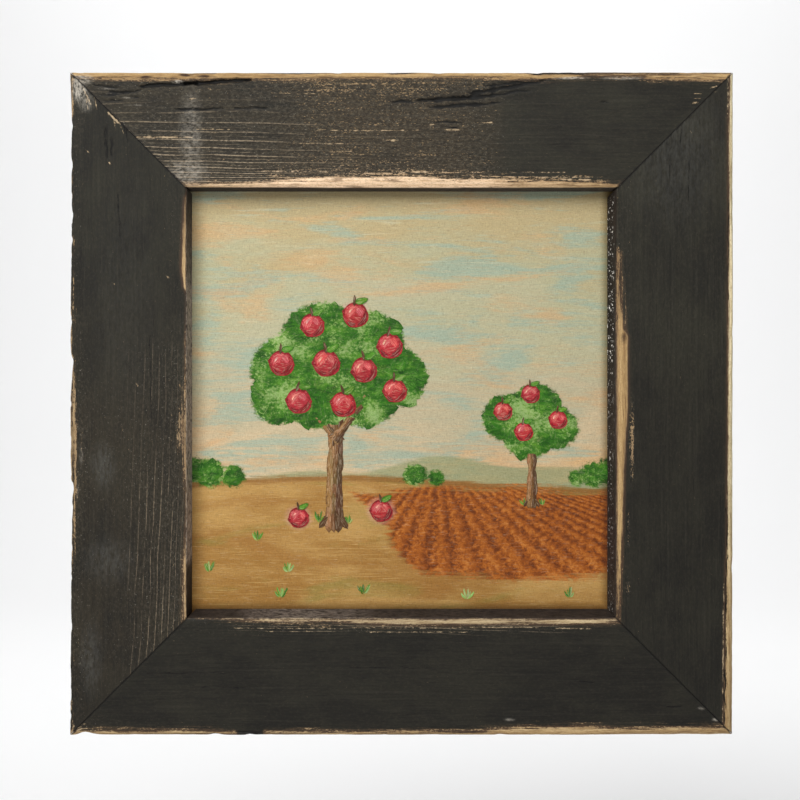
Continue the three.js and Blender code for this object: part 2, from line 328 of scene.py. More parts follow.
# %% [markdown]
# What makes the frame is its wear. Sanding took the paint and some wood off both long edges, more in
# some places than others, the outer edge is nicked, and cracks and a splintered ledge run with the
# grain. All of it is listed here in millimetres: places along a board run clockwise round the frame
# from its middle, and places across it are measured from its outer edge.
#
# A list of pairs gives a value at places along the board, with smooth steps between. In outer, inner
# and wave the places are shares of half the board's length, and in the _across lists they lie across
# it. The longer tuples are:
#
# - pith, the middle of the tree: distance from the frame's middle, distance in front of the board,
#   spacing of the rings, how fast they widen, and how far they slant along the board;
# - knots: place along, place across, radius;
# - notches: place along, depth, half length;
# - cuts and scratches: from place along and across, to place along and across, width, and a cut's depth;
# - rub, dust, haze and stain: place along and across, half length, half width, strength.
#
# bare_outer and bare_inner say how far bare wood reaches in from each edge, and the skip lists how far
# in it starts. pale is the share of pale wood along the outer edge, and then at the inner edge; along
# the right board's outer edge it is partly a painted highlight, on an edge that faces away from the lamp.
# What a board doesn't list, it takes from the unworn one.
# thick darkens the coat: it is painted shade, which makes the frame darker towards its bottom and right.

# %% How each board is worn
UNWORN = dict(
    wave=[(-1, 0), (1, 0)],
    knots=[],
    haze=[],
    rub=[],
    dust=[],
    flecks=[(-124, 0), (124, 0)],
    outer_skip=[(-190, -2), (190, -2)],
)
BOARDS = [
    UNWORN | dict(
        name="top",
        outer=[
            (-1, 3.4), (-0.5, 3.4), (-0.2, 3), (0, 3.2), (0.3, 3), (0.45, 1.6), (0.75, 1.4), (0.88, 3),
            (1, 3.4),
        ],
        inner=[
            (-1, 0.8), (-0.65, 0.9), (-0.4, 3), (-0.2, 6), (0, 7), (0.2, 6.6), (0.45, 4.6), (0.8, 1.6),
            (1, 0.8),
        ],
        slope=1.2,
        opening=0.8,
        wave=[(-1, 0), (-0.6, 0.1), (-0.4, 0.2), (0, 0), (0.3, 0.2), (0.6, 0), (1, 0)],
        nick=0.15,
        notches=[(-122, 0.3, 4), (-36, 0.3, 3), (22, 0.3, 5), (78, 0.4, 4)],
        pith=(60, 6, 2.0, 0.09, 0.012),
        knots=[(112, 22, 3.2)],
        cuts=[
            (-150, 8.3, -118, 6.6, 2.4, 1.0), (-124, 6.7, -87, 4.3, 3.6, 1.6),
            (-168, 11.5, -150, 11.0, 1.8, 0.5), (-130, 21.5, -102, 21.3, 1.7, 0.5),
            (-96, 21.0, -77, 20.9, 1.5, 0.4), (-176, 8, -163, 9.5, 1.6, 0.4),
            (-5, 17.4, 20, 15.8, 2.0, 0.4), (10, 16.4, 40, 14.6, 3.2, 0.6),
            (30, 15.0, 60, 13.0, 3.0, 0.5), (40, 12.6, 83, 4.6, 3.2, 0.5), (48, 8.4, 70, 5.4, 2.2, 0.3),
            (56, 12.4, 74, 10.6, 1.8, 0.3), (16, 20.5, 57, 17.6, 2.3, 0.4),
            (20, 28.9, 35, 28.9, 1.2, 0.3), (24, 31.6, 32, 31.6, 1.0, 0.3),
            (114, 17.5, 119, 17.4, 1.2, 0.4), (136, 19.0, 141, 19.6, 0.8, 0.2),
            (76, 0.5, 108, 0.4, 1.0, 0.3), (-173, 13.6, -160, 12.8, 1.3, 0.3),
            (-170, 16.8, -160, 15.9, 1.1, 0.3), (-156, 14.9, -151, 14.6, 1.2, 0.3),
        ],
        scratches=[
            (-10.7, 39.2, -2, 39.3, 1.0), (-41, 33.6, 16, 33.4, 0.4), (26, 33.2, 34, 33.3, 0.9),
            (45, 28.9, 52, 29.0, 0.8), (16.4, 30, 19, 30.1, 1.0), (-44, 45.4, -28.5, 45.6, 0.7),
            (-28.5, 45.6, -26, 48.2, 0.6), (-41, 50, -28.5, 50, 0.5), (-120, 32.9, -99, 33.0, 0.5),
            (-50, 33.2, -43, 33.2, 1.0), (-4, 57.7, 28, 57.5, 0.8), (60, 60.6, 114, 60.9, 0.7),
            (57, 57.7, 94, 57.8, 0.45), (91, 62.2, 113, 62.4, 0.8), (-153, 37.4, -120, 37.6, 1.1),
            (166.5, 12.3, 174, 12.6, 0.35), (167, 17.9, 170.4, 17.4, 0.8), (176, 9.6, 181, 8.0, 0.8),
            (168, 15.2, 172.6, 15.4, 0.3), (163, 24, 166, 22.6, 0.3), (154, 33, 158.6, 29.8, 0.2),
            (-112, 8.4, -108, 11.4, 0.8), (-122, 15.5, -118, 15.1, 0.9), (-75, 12.0, -45, 12.6, 0.5),
            (-66, 41, -30, 41.2, 0.5), (-90, 57, -40, 57.2, 0.6),
        ],
        bare_outer=[
            (-190, 2.5), (-168, 3.4), (-140, 3.9), (-87, 3.7), (-41, 3.2), (55, 2.8), (63, 4.0),
            (74, 3.9), (100, 3.2), (112, 1.8), (135, 1.9), (142, 3.8), (190, 4.0),
        ],
        outer_skip=[
            (-190, -2), (-126, -2), (-121, 0.7), (-108, 0.7), (-104, -2), (-12, -2), (-6, 0.6), (-1, 0.6),
            (3, -2), (68, -2), (75, 1.4), (106, 1.5), (112, 0.8), (140, 1.0), (186, 0.7), (190, -1),
        ],
        outer_ragged=0.9,
        bare_inner=[
            (-124, 0.9), (-99, 1.4), (-82, 2.6), (-64, 4.4), (-41, 5.6), (0, 5.8), (28, 5.2), (57, 4.6),
            (91, 3.8), (115, 2.6), (124, 0.9),
        ],
        inner_skip=[(-124, -2), (124, -2)],
        ragged=[(-124, 0.9), (-60, 1.3), (-30, 1.6), (70, 1.8), (110, 1.4), (124, 0.9)],
        pale=([(-190, 0), (190, 0)], 0),
        pinkish=[(-124, 0.35), (-90, 0.6), (-60, 1), (40, 0.9), (70, 0.35), (124, 0.1)],
        stain=[
            (-124, 1.4, 4, 1.1, 1.6), (-113, 2.3, 5, 0.9, 1.0), (-147, 3, 4, 1.2, 1.0),
            (0, 0.3, 10, 1.0, 1.2), (108, 0.6, 36, 1.0, 1.5), (128, 2.6, 16, 1.2, 1.4),
            (-60, 0.4, 24, 0.8, 0.8), (-165, 2.8, 14, 0.8, 0.7), (-30, 3.2, 40, 0.8, 0.7),
            (150, 1.6, 24, 0.4, 1.0), (40, 2.6, 30, 0.8, 0.7),
        ],
        thick=[(-190, 0), (40, 0), (80, 0.3), (190, 0.4)],
        brown=[
            (-190, 0.4), (-100, 0.55), (-50, 0.8), (-30, 1), (30, 0.9), (50, 0.5), (64, 0.08),
            (190, 0.02),
        ],
        specks=[
            (-190, 0.4), (-100, 0.5), (-60, 0.85), (-41, 1), (10, 1), (45, 0.8), (62, 0.3), (90, 0.08),
            (190, 0.05),
        ],
        specks_across=[(0, 1), (8, 0.9), (20, 0.6), (40, 0.6), (52, 0.75), (60, 0.95), (67, 1.0)],
        lines=[(-190, 0.95), (-95, 0.9), (-60, 0.45), (-25, 0.15), (60, 0.04), (190, 0)],
        lines_across=[(0, 0), (14, 0.1), (24, 0.4), (32, 0.7), (40, 0.9), (50, 1.15), (67, 1.3)],
        dust=[
            (-121, 38, 7, 30, 0.24), (-123, 58, 12, 9, 0.34), (-128, 5.8, 3.4, 1.2, 1.3),
            (97, 3.4, 10, 0.8, 0.7), (128, 3.6, 14, 1.0, 0.4), (-184, 4, 7, 3.5, 0.6),
            (-170, 9.5, 6, 0.5, 0.35), (-165, 12.4, 5, 0.4, 0.3), (-158, 14.8, 5, 0.4, 0.28),
            (-152, 19, 7, 0.4, 0.25),
        ],
        sight_dust=[(-124, 0.05), (124, 0.15)],
    ),
    UNWORN | dict(
        name="right",
        outer=[(-1, 1.8), (-0.6, 2.2), (-0.25, 1.2), (0, 2.2), (0.3, 2.8), (0.6, 3.6), (1, 4.4)],
        inner=[
            (-1, 0.4), (-0.6, 0.6), (-0.35, 2.4), (-0.22, 5), (0, 5), (0.25, 3.6), (0.5, 1.8), (1, 0.8),
        ],
        slope=3.6,
        opening=-0.1,
        nick=0.12,
        notches=[(96, 0.3, 4), (-40, 0.3, 5)],
        pith=(300, -4, 2.6, 0.03, 0.012),
        cuts=[
            (60, 3.6, 140, 4.3, 0.7, 0.3), (135, 4.4, 184, 5.0, 1.0, 0.3),
            (-118, 2.9, -60, 2.8, 0.5, 0.15), (-158, 30, -142, 30.2, 0.5, 0.12),
            (-150, 36, -128, 36, 0.4, 0.1), (-140, 25, -110, 25.4, 0.4, 0.08),
        ],
        scratches=[
            (-188, 3.1, -150, 3.0, 0.4), (100, 5.4, 183, 6.2, 0.5), (-182, 12.0, -178, 9.5, 0.6),
            (-157, 27.0, -155.6, 23.5, 0.7),
        ],
        bare_outer=[
            (-190, 1.6), (-150, 2.3), (-60, 2.5), (60, 3.0), (100, 3.9), (150, 4.4), (180, 4.9),
            (190, 5.4),
        ],
        outer_skip=[(-190, -0.4), (60, -0.4), (120, -1), (190, -2)],
        outer_ragged=0.3,
        bare_inner=[
            (-124, -4), (-92, -3.6), (-86, 1.3), (-60, 2.3), (-44, 3.8), (-38, 6.3), (-2, 6.2), (27, 4.8),
            (44, 4.0), (67, 3.4), (90, 2.6), (113, 1.8), (121, 1.2), (124, 1.0),
        ],
        inner_skip=[(-124, 1.0), (-60, 0.6), (124, 0.6)],
        ragged=[(-124, 1), (-48, 0.8), (-38, 0.2), (50, 0.25), (90, 0.5), (124, 0.7)],
        # pale on this outer edge is partly a painted highlight, on an edge that faces away from the lamp
        pale=([(-190, 0.85), (40, 0.8), (120, 0.2), (190, 0.1)], 0),
        pinkish=[(-124, 0), (124, 0)],
        stain=[(-62, 65, 26, 3.2, 0.3), (-38, 62.6, 4, 2, 0.6)],
        thick=[(-190, 0), (-60, 0.15), (40, 1), (190, 1)],
        brown=[(-190, 0.1), (-60, 0.06), (190, 0)],
        haze=[(-150, 34, 50, 30, 0.16)],
        specks=[(-190, 0.22), (-60, 0.16), (190, 0.1)],
        specks_across=[(0, 1), (6, 0.5), (56, 0.5), (60, 1.2), (67, 1.5)],
        lines=[(-190, 0), (190, 0)],
        lines_across=[(0, 0), (67, 0)],
        rub=[
            (22, 58.2, 28, 1.8, 1.5), (74, 60.0, 16, 1.0, 1.0), (106, 60.6, 7, 1.8, 1.0),
            (-60, 63, 22, 2, 0.5),
        ],
        sight_dust=[(-124, 0), (124, 0.05)],
        flecks=[
            (-124, 0), (-116, 0.8), (-86, 0.8), (-76, 1.3), (-36, 1.3), (-16, 0.6), (40, 0.35),
            (124, 0.3),
        ],
    ),
    UNWORN | dict(
        name="bottom",
        outer=[
            (-1, 4.4), (-0.8, 3.6), (-0.5, 1.8), (0, 1.8), (0.4, 2.6), (0.5, 0.8), (0.65, 2.6),
            (0.95, 2.4), (1, 1.2),
        ],
        inner=[(-1, 1.2), (-0.6, 2.8), (-0.1, 3.4), (0.2, 3.4), (0.6, 2), (0.9, 0.8), (1, 0.5)],
        slope=3.6,
        opening=0,
        nick=0.12,
        notches=[(184, 1.5, 6), (108, 0.7, 5), (88, 0.5, 3), (-56, 0.4, 4)],
        pith=(70, 10, 2.4, 0.05, 0.012),
        knots=[(-64, 38, 4.0)],
        cuts=[
            (95, 2.2, 80, 2.0, 1.3, 0.4), (-152, 16.5, -161, 16.4, 1.0, 0.3),
            (-102, 31, -111, 30.6, 0.8, 0.2), (150, 36, 96, 35.6, 0.5, 0.1),
            (120, 28, 80, 27.7, 0.5, 0.1), (30, 39, -20, 38.6, 0.5, 0.08),
        ],
        scratches=[
            (96, 61.6, 34, 61.2, 0.25), (30, 61.8, -36, 61.6, 0.35), (-39, 62.2, -80, 62.0, 0.45),
            (-86, 61.6, -109, 61.2, 0.55), (22, 59.4, -38, 59.2, 0.3), (80, 59.8, 50, 59.6, 0.15),
            (187, 2.4, 182, 3.4, 1.0), (181, 1.6, 176, 2.6, 1.0), (184, 6.4, 181, 6.6, 0.6),
            (173, 1.8, 170, 2.2, 0.8), (186, 4.2, 184, 4.8, 0.8),
        ],
        bare_outer=[
            (-190, 4.4), (-172, 3.9), (-126, 3.6), (-104, 4.8), (-70, 4.4), (-57, 3.0), (-39, 1.6),
            (60, 1.6), (78, 1.7), (82, -3), (92, -3), (96, 1.6), (108, 2.0), (174, 2.2), (180, 1.0),
            (190, 1.8),
        ],
        outer_ragged=0.8,
        bare_inner=[
            (-124, 1.2), (-114, 2.0), (-91, 2.6), (-40, 2.9), (20, 2.6), (36, 1.7), (60, 1.1), (90, 0.6),
            (104, -0.6), (124, -2.4),
        ],
        inner_skip=[(-124, 0.7), (-30, 0.7), (60, 0.3), (124, 0.2)],
        ragged=[(-124, 0.6), (20, 0.6), (40, 1.0), (124, 0.8)],
        pale=([(-190, 0.1), (190, 0.2)], 0.45),
        pinkish=[(-124, 0.1), (0, 0.1), (124, 0.2)],
        stain=[(100, 0.6, 70, 0.9, 0.6), (0, 0.4, 60, 0.8, 0.5), (0, 65, 160, 4, 0.2)],
        thick=[(-190, 1), (190, 1)],
        brown=[(-190, 0), (170, 0), (190, 0.3)],
        specks=[(-190, 0.12), (60, 0.14), (150, 0.25), (190, 0.4)],
        specks_across=[(0, 1.1), (8, 0.9), (16, 0.45), (54, 0.45), (60, 1.1), (67, 1.3)],
        lines=[(-190, 0), (-110, 0), (-70, 0.5), (70, 0.6), (110, 0), (190, 0)],
        lines_across=[(0, 0), (56, 0), (61, 0.8), (67, 1)],
        dust=[(-62, 9, 3, 0.8, 0.4), (-172, 15.5, 1.6, 0.9, 0.45), (-180, 9, 1.2, 0.9, 0.8)],
        sight_dust=[(-124, 0.02), (10, 0.05), (34, 0.3), (60, 0.45), (84, 0.3), (100, 0.05), (124, 0)],
    ),
    UNWORN | dict(
        name="left",
        outer=[(-1, 1), (-0.5, 0.8), (-0.2, 1.6), (0.1, 1.2), (0.5, 0.8), (1, 1.2)],
        inner=[
            (-1, 1.4), (-0.6, 1.4), (-0.2, 1), (0, 1.4), (0.25, 0.6), (0.55, 1), (0.7, 2.6), (0.85, 1.8),
            (1, 0.6),
        ],
        slope=1.6,
        opening=0.1,
        wave=[
            (-1, 0), (-0.9, 0), (-0.6, 0.5), (-0.28, 1), (-0.2, 0.1), (0, 0.1), (0.1, 1), (0.2, 0.1),
            (0.55, 0.8), (0.75, 0.5), (0.85, 0.9), (1, 0),
        ],
        nick=0.5,
        notches=[
            (161, 0.4, 3), (139, 0.8, 5), (110, 0.4, 3), (47, 0.6, 3), (25, 0.9, 5), (-47, 1.1, 5),
            (-83, 0.4, 3), (-128, 0.3, 3), (-165, 0.5, 4),
        ],
        pith=(40, -12, 2.3, 0.07, 0.035),
        knots=[(64, 30, 3.6)],
        cuts=[
            (150, 33, 162, 31, 1.2, 0.4), (158, 20.5, 141, 21, 1.9, 0.3),
            (152, 23.6, 142, 24.2, 1.7, 0.3), (120, 28, 96, 28.4, 0.8, 0.12),
            (40, 46, -10, 46.4, 0.5, 0.08),
        ],
        scratches=[
            (182, 7, 172, 12, 1.2), (178, 9, 169, 10.4, 0.7), (167, 22, 161, 28.5, 1.5),
            (164, 25, 157, 26.5, 0.9), (176, 14, 168, 16, 0.7), (160, 29, 155, 31, 0.9),
            (104, 16, 104.6, 17.4, 0.45), (88, 24, 87, 25, 0.35), (73, 56, 72, 57, 0.8),
            (70, 24, 68.6, 26, 0.7), (12, 38, 10, 39, 0.6), (-8, 20, -8.6, 21, 0.7),
            (146, 9, 144, 11, 0.7), (139, 22, 137, 24, 0.4), (-92, 66.0, -124, 65.6, 0.6),
            (-187, 2.2, -182, 1.4, 0.9), (-178, 0.8, -170, 0.6, 0.5),
        ],
        bare_outer=[
            (-190, 0.2), (-180, -2.4), (-95, -2.4), (-82, -0.6), (-60, -0.6), (-46, 1.2), (-18, 1.9),
            (-6, 0.9), (20, -0.2), (34, -2.4), (50, -1.2), (66, -1.2), (80, -2.6), (150, -2.6), (180, -1),
            (190, 0.6),
        ],
        outer_ragged=1.3,
        bare_inner=[
            (-124, 0.9), (-92, 1.2), (-82, 0.5), (-60, 0.1), (-30, 0.1), (-26, 1.6), (-10, 1.7), (-4, 0),
            (30, -0.3), (62, -1), (68, 1.4), (78, 2.8), (95, 2.1), (112, 1.2), (118, 0.7), (122, -1),
        ],
        inner_skip=[(-124, 0.5), (-67, 0.3), (-60, -2), (60, -2), (70, 0.5), (124, 0.5)],
        ragged=[(-124, 0.7), (-40, 0.7), (-30, 1.2), (0, 1), (60, 0.3), (124, 0.25)],
        pale=([(-190, 0.2), (190, 0.2)], 0.1),
        pinkish=[(-124, 0.15), (124, 0.05)],
        stain=[(-18, 65, 16, 3, 0.6), (-20, 1, 40, 1.5, 0.4)],
        thick=[(-190, 0.7), (-60, 0.3), (0, 0.3), (60, 0.5), (190, 0.45)],
        brown=[(-190, 0.2), (-130, 0.4), (-20, 0.4), (30, 0.15), (80, 0.04), (190, 0.04)],
        haze=[
            (-36, 19, 14, 8, 0.3), (-90, 22, 14, 15, 0.24), (-147, 12, 22, 7, 0.26),
            (60, 30, 70, 22, 0.06),
        ],
        specks=[(-190, 0.4), (-60, 0.45), (-20, 0.6), (10, 0.5), (60, 0.3), (130, 0.35), (190, 0.6)],
        specks_across=[(0, 1.2), (5, 0.8), (12, 0.3), (50, 0.35), (60, 0.7), (67, 0.8)],
        lines=[
            (-190, 0.3), (-125, 0.45), (-60, 0.45), (-30, 0.22), (-12, 0.1), (4, 0.22), (28, 0.25),
            (42, 0), (190, 0),
        ],
        lines_across=[(0, 0), (30, 0), (36, 0.55), (48, 1), (58, 0.95), (63, 0.7), (67, 0.2)],
        rub=[(-16, 63, 16, 3.5, 1.0), (-30, 2.5, 30, 2, 0.9), (-64, 2, 10, 2, 0.8)],
        dust=[
            (181, 5.5, 8, 6, 0.8), (173, 9, 6, 5, 0.3), (-30, 6.5, 5, 1.2, 0.2), (-50, 4, 6, 1.4, 0.15),
        ],
        sight_dust=[(-124, 0), (-96, 0.1), (-88, 1.5), (60, 1.4), (80, 0.5), (124, 0.1)],
    ),
]


# %% [markdown]
# The lists become a height for every point of a board's surface. Wide sanded edges are smooth curves,
# growth rings stand up as faint ridges because the wood between them is softer, and cracks are cut in
# along their lines. The same sums give each point its share of bare wood, specks, dust and crack,
# which the paint material reads later.

# %% Wearing one board
RELIEF_DEPTH = 0.2  # in millimetres: how far the grain's hollows lie behind its highest crests
SLOPE_CURVE = 2.6  # 1 would sand an edge off flat, more rounds it
TINY = 0.01
FAR_OUTSIDE = -4.0  # stands for no cut or scratch nearby
BARE_LIMIT = 6.0
NO_KNOT = 4.0  # in knot radii


def distance_to_line(a, e, line):
    """Each point's distance from a line between two places, and its share of the way along it."""
    start_at, end_at = np.array(line[:2]), np.array(line[2:])
    step = end_at - start_at
    along_line = ((a - start_at[0]) * step[0] + (e - start_at[1]) * step[1]) / (step @ step)
    t = np.clip(along_line, 0, 1)
    return np.hypot(a - start_at[0] - t * step[0], e - start_at[1] - t * step[1]), t


def wear_board(board, wear, side):
    points = points_of(board)
    x, y, r = points[:, 0] / MM, points[:, 1] / MM, points[:, 2] / MM
    outer_r, inner_r, front, back = OUTER / MM, INNER / MM, FRONT / MM, BACK / MM
    lip_back = LIP_BACK / MM
    seed = 100 * (side + 1)
    on_front = np.abs(y - front) < TINY
    on_outer = np.abs(r - outer_r) < TINY
    on_sight = (np.abs(r - inner_r) < TINY) & (y < lip_back + TINY)
    on_back = (y > back - TINY) | ((y > lip_back - TINY) & (r < REBATE / MM + TINY))

    # The mitre: each row reaches as far to either side as it lies out from the frame's middle. A point
    # lies a along the board, t as a share of half its length, e in from the outer edge and i in from
    # the inner one.
    a = x / outer_r * (r - MITRE_GAP / MM / 2)
    t = a / outer_r
    e = outer_r - r
    i = r - inner_r

    # Growth rings round the tree's middle, which lies off to one side of the board. They get wider
    # away from it, and bend round a knot.
    pith_r, pith_y, spacing, widening, slant = wear["pith"]
    drift = 2.2 * hills(a / 90, r / 30, seed + 1) + 0.5 * hills(a / 22, r / 9, seed + 2)
    knot = np.full_like(a, NO_KNOT)
    for knot_a, knot_e, knot_radius in wear["knots"]:
        reach = np.hypot((a - knot_a) / 1.5, e - knot_e) / knot_radius
        knot = np.minimum(knot, reach)
        drift = drift + 2.2 * knot_radius * np.exp(-((reach / 2.4) ** 2))
    from_pith = np.hypot(r - pith_r, (y - front) + pith_y) + drift + slant * a
    ring = np.log(1 + widening * (from_pith - from_pith.min()) / spacing) / widening

    # Sanded edges
    outer_width = eased(wear["outer"], t) * (1 + 0.22 * hills_along(a, 11, seed + 3))
    outer_width = np.maximum(outer_width + 0.25 * hills_along(a, 3, seed + 4), 0.5)
    inner_width = eased(wear["inner"], t) * (1 + 0.18 * hills_along(a, 13, seed + 5, row=5))
    inner_width = np.maximum(inner_width + 0.15 * hills_along(a, 4, seed + 6, row=5), 0.35)
    outer_depth, inner_depth = 0.3 + 0.6 * outer_width, 0.4 + 0.3 * inner_width
    drop = outer_depth * np.clip(1 - e / outer_width, 0, 1) ** SLOPE_CURVE
    drop = drop + inner_depth * np.clip(1 - i / inner_width, 0, 1) ** SLOPE_CURVE

    # Grain, saw marks and dents of the face
    inside = fade(e, 0, 2) * fade(i, 0, 2)
    lined = eased(wear["lines"], a) * eased(wear["lines_across"], e)
    ridge = np.clip(np.cos(2 * np.pi * ring), 0, 1) ** 3
    relief = 0.05 * rough_hills(a / 30, r / 1.1, seed + 7) + 0.05 * rough_hills(a / 12, r / 6, seed + 8)
    relief = relief - (0.05 + 0.09 * lined) * ridge + RELIEF_DEPTH
    drop = drop + inside * relief

    # Cracks and splinters, which narrow to their ends
    cut = np.full_like(a, FAR_OUTSIDE)
    for *line, cut_width, depth in wear["cuts"]:
        wobble = 0.5 * hills_along(a, 6, seed + 9, row=line[0])
        wobble = wobble + 0.2 * hills_along(a, 1.7, seed + 9, row=line[0])
        distance, share = distance_to_line(a, e + wobble, line)
        half = cut_width / 2 * (0.35 + 0.65 * np.sin(np.pi * np.clip(0.15 + 0.8 * share, 0, 1)))
        half = half * (0.85 + 0.35 * hills_along(a, 2.5, seed + 10))
        cut = np.maximum(cut, half - distance)
        drop = drop + depth * fade(distance, half + 0.35, half * 0.4) * on_front

    # Nicks in the outer edge
    bite = np.clip(hills_along(a, 5, seed + 11, row=2) - 0.35, 0, 1) * 1.6
    bite = bite + 0.3 * np.clip(hills_along(a, 1.8, seed + 12), 0, 1)
    ends = fade(np.abs(t), 1, 0.97)
    wander = eased(wear["wave"], t) + wear["nick"] * bite
    for notch_a, depth, half_length in wear["notches"]:
        along_notch = np.where(a > notch_a, (a - notch_a) * 2.5, notch_a - a) / half_length
        wander = wander + depth * np.exp(-(along_notch**2))
    wander = wander * ends
    shift = wander * fade(e, 6, 0)

    # The sides start at the worn edge's depth, and the sight edge leans in.
    side_y = front + outer_depth + (y - front) * (back - front - outer_depth) / (back - front)
    sight_y = front + inner_depth + (y - front) * (lip_back - front - inner_depth) / (lip_back - front)
    new_y = np.where(on_outer, side_y, np.where(on_sight, sight_y, y))
    new_y = np.where(on_front & ~on_outer & ~on_sight, y + drop, new_y)
    lean = wear["slope"] * np.clip((new_y - front) / (lip_back - front), 0, 1)
    lean = lean * (np.abs(r - inner_r) < TINY)
    side_relief = 0.06 * rough_hills(a / 25, y / 1.5, seed + 13)
    new_r = r - shift - lean + wear["opening"] * fade(i, 12, 0)
    new_r = new_r - np.where(on_outer, 0.08 + side_relief, 0) * (0.2 + 0.8 * ends)
    back_edge = fade(e, 1.2, 0) * (y > back - TINY)
    new_y = new_y - 0.6 * back_edge

    new_a = x / outer_r * (new_r - MITRE_GAP / MM / 2)
    move_points(board, turned_to_side(np.column_stack([new_a, new_y, new_r]) * MM, side))

    # What the paint reads: bare and scratch are millimetres inside bare wood, below zero outside it.
    mid = e < (outer_r - inner_r) / 2
    bare_outer = np.minimum(eased(wear["bare_outer"], a) - e, e - eased(wear["outer_skip"], a))
    bare_inner = np.minimum(eased(wear["bare_inner"], a) - i, i - eased(wear["inner_skip"], a))
    bare = np.where(mid, bare_outer, bare_inner)
    side_bare = np.minimum(1.6 - (y - front - outer_depth), eased(wear["bare_outer"], a) - 1.0)
    bare = np.where(on_outer, side_bare, np.where(on_front, bare, -BARE_LIMIT))
    scratch = np.full_like(a, FAR_OUTSIDE)
    for *line, scratch_width in wear["scratches"]:
        distance, share = distance_to_line(a, e, line)
        taper = 0.45 + 0.55 * np.sin(np.pi * np.clip(0.1 + 0.8 * share, 0, 1))
        scratch = np.maximum(scratch, scratch_width / 2 * taper - distance)
    patches = {kind: np.zeros_like(a) for kind in ("dust", "haze", "rub", "stain")}
    for kind, total in patches.items():
        for place_a, place_e, half_a, half_e, strength in wear[kind]:
            reach = np.hypot((a - place_a) / half_a, (e - place_e) / half_e)
            np.maximum(total, strength * fade(reach, 1.3, 0.2) * on_front, out=total)
    patches["dust"] = np.where(on_sight, eased(wear["sight_dust"], a), patches["dust"])
    pale_outer, pale_inner = wear["pale"]
    speckled = np.maximum(eased(wear["specks"], a) * eased(wear["specks_across"], e), patches["rub"])
    keep_values(
        board,
        place=np.column_stack([new_a, new_y, new_r]),
        ring=ring,
        knot=knot,
        raw=on_back & (e > 0.05) & (i > 0.05),
        sight=on_sight,
        mitre=(r - np.abs(new_a)) / math.sqrt(2),
        bare=np.clip(bare, -BARE_LIMIT, BARE_LIMIT),
        ragged=np.where(mid, wear["outer_ragged"], eased(wear["ragged"], a)),
        pale=np.where(mid, eased(pale_outer, a), pale_inner),
        pinkish=fade(i, 20, 8) * eased(wear["pinkish"], a),
        stain=patches["stain"],
        scratch=np.where(on_front, scratch, FAR_OUTSIDE),
        cut=np.where(on_front, cut, FAR_OUTSIDE),
        specks=speckled * (on_front | on_outer),
        lined=lined * on_front,
        brown=eased(wear["brown"], a),
        # thick carries painted shade: the coat darker towards the frame's bottom and right
        thick=eased(wear["thick"], a),
        dust=patches["dust"],
        haze=patches["haze"],
        flecks=eased(wear["flecks"], a) * on_sight * fade(new_y, front + 2, front + 6),
    )


# %% [markdown]
# A material here is a short recipe of nodes. Writing one line per node, with words for what it does,
# keeps a long recipe readable. Colours are given as a painter would read them off a chart, from 0 to
# 255, and turned into the linear light that the shader works in.

# %% Helpers for finishes
MIX_SOCKETS = (0, 6, 7)  # a mix node's factor and its two colours


def colour(red, green, blue):
    linear = [((c / 255 + 0.055) / 1.055) ** 2.4 if c > 10 else c / 255 / 12.92 for c in (red, green, blue)]
    return (*linear, 1.0)


